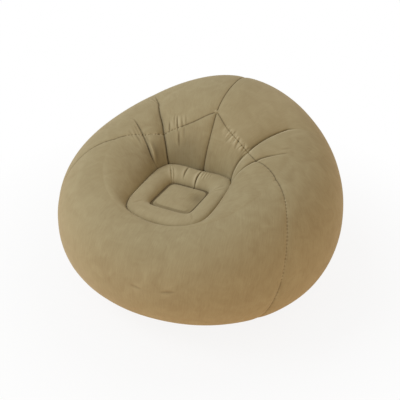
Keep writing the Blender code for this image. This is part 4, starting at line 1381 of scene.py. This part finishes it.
def light_room(scene):
    """Even light from all round, warmer from the right, which the camera sees as white."""
    colours = scene.air_chair_colours
    world = bpy.data.worlds.new("even_room")
    world.use_nodes = True
    tree = world.node_tree
    tree.nodes.clear()
    way = node(tree, "ShaderNodeTexCoord").outputs["Generated"]
    side = node(tree, "ShaderNodeSeparateXYZ", None, {0: way}).outputs["X"]
    wall = node(
        tree, "ShaderNodeMixRGB", {1: srgb(colours.room), 2: srgb(colours.warm_wall)}, {0: side},
        use_clamp=True,
    ).outputs[0]
    strength = scene.air_chair_studio.ambient
    room = node(
        tree, "ShaderNodeBackground", {"Strength": strength}, {"Color": wall},
    ).outputs[0]
    node(tree, "ShaderNodeOutputWorld", None, {"Surface": white_to_camera(tree, room)})
    scene.world = world


def studio_paper(scene):
    """White paper: dull, fading into the room far away, with warm light thrown up from it."""
    colours, lift = scene.air_chair_colours, scene.air_chair_studio.bounce
    material, tree = start_material("studio_paper")
    paper = node(tree, "ShaderNodeBsdfDiffuse", {"Color": srgb(colours.floor)}).outputs[0]
    place = node(tree, "ShaderNodeTexCoord").outputs["Object"]
    away = node(
        tree, "ShaderNodeVectorMath", None, {0: place}, operation="LENGTH",
    ).outputs["Value"]
    near, far = FLOOR_FADE
    share = node(
        tree, "ShaderNodeMapRange",
        {"From Min": near, "From Max": far, "To Min": FLOOR_WHITE, "To Max": 1}, {"Value": away},
    ).outputs[0]
    seen = white_to_camera(tree, paper, share)
    path = node(tree, "ShaderNodeLightPath").outputs
    strength = node(
        tree, "ShaderNodeMath", {1: -lift, 2: lift}, {0: path["Is Camera Ray"]},
        operation="MULTIPLY_ADD",
    ).outputs[0]
    bounce = node(
        tree, "ShaderNodeEmission", {"Color": srgb(colours.bounce)}, {"Strength": strength},
    ).outputs[0]
    surface = node(tree, "ShaderNodeAddShader", None, {0: seen, 1: bounce}).outputs[0]
    node(tree, "ShaderNodeOutputMaterial", None, {"Surface": surface})
    return material


def lay_floor(scene):
    half = FLOOR_HALF_WIDTH
    corners = [(-half, -half, 0), (half, -half, 0), (half, half, 0), (-half, half, 0)]
    mesh = bpy.data.meshes.new("floor")
    mesh.from_pydata(corners, [], [(0, 1, 2, 3)])
    mesh.materials.append(studio_paper(scene))
    floor = bpy.data.objects.new("floor", mesh)
    scene.collection.objects.link(floor)


def aim_camera(scene):
    studio = scene.air_chair_studio
    turn, lift = studio.azimuth, studio.elevation
    flat = math.cos(lift)
    view = Vector((math.sin(turn) * flat, -math.cos(turn) * flat, math.sin(lift)))
    camera_data = bpy.data.cameras.new("camera")
    camera_data.lens = studio.lens
    camera_data.sensor_width = CAMERA_SENSOR
    camera = bpy.data.objects.new("camera", camera_data)
    camera.location = Vector(CAMERA_TARGET) + view * studio.distance
    camera.rotation_euler = view.to_track_quat("Z", "Y").to_euler()
    scene.collection.objects.link(camera)
    scene.camera = camera


class AIRCHAIR_OT_studio(bpy.types.Operator):
    """Sets the floor, the light and the camera"""

    bl_idname = "air_chair.studio"
    bl_label = "Studio"

    def execute(self, context):
        scene = context.scene
        scene.view_settings.view_transform = "Standard"
        light_room(scene)
        lay_floor(scene)
        aim_camera(scene)
        colour, power = scene.air_chair_colours.key, scene.air_chair_studio.key
        lamp("key_lamp", KEY_PLACE, KEY_TARGET, colour, power, KEY_SIZE)
        return {"FINISHED"}


GROUPS = {
    "air_chair_sizes": AirChairSizes,
    "air_chair_colours": AirChairColours,
    "air_chair_studio": AirChairStudio,
}
OPERATORS = (AIRCHAIR_OT_skin, AIRCHAIR_OT_seat, AIRCHAIR_OT_valve, AIRCHAIR_OT_studio)


class AIRCHAIR_PT_panel(bpy.types.Panel):
    """Lists the chair's operators and settings"""

    bl_idname = "AIRCHAIR_PT_panel"
    bl_label = "Air Chair"
    bl_space_type = "VIEW_3D"
    bl_region_type = "UI"
    bl_category = "Air Chair"

    def draw(self, context):
        for operator in OPERATORS:
            self.layout.operator(operator.bl_idname)
        for name, kind in GROUPS.items():
            box = self.layout.box()
            for setting in kind.__annotations__:
                box.prop(getattr(context.scene, name), setting)


def register():
    for made in (*GROUPS.values(), *OPERATORS, AIRCHAIR_PT_panel):
        bpy.utils.register_class(made)
    for name, group in GROUPS.items():
        setattr(bpy.types.Scene, name, bpy.props.PointerProperty(type=group))


def unregister():
    for name in GROUPS:
        delattr(bpy.types.Scene, name)
    for made in (AIRCHAIR_PT_panel, *reversed(OPERATORS), *reversed(GROUPS.values())):
        bpy.utils.unregister_class(made)


def main():
    register()
    bpy.ops.air_chair.skin()
    bpy.ops.air_chair.seat()
    bpy.ops.air_chair.valve()
    bpy.ops.air_chair.studio()


if __name__ == "__main__":
    main()
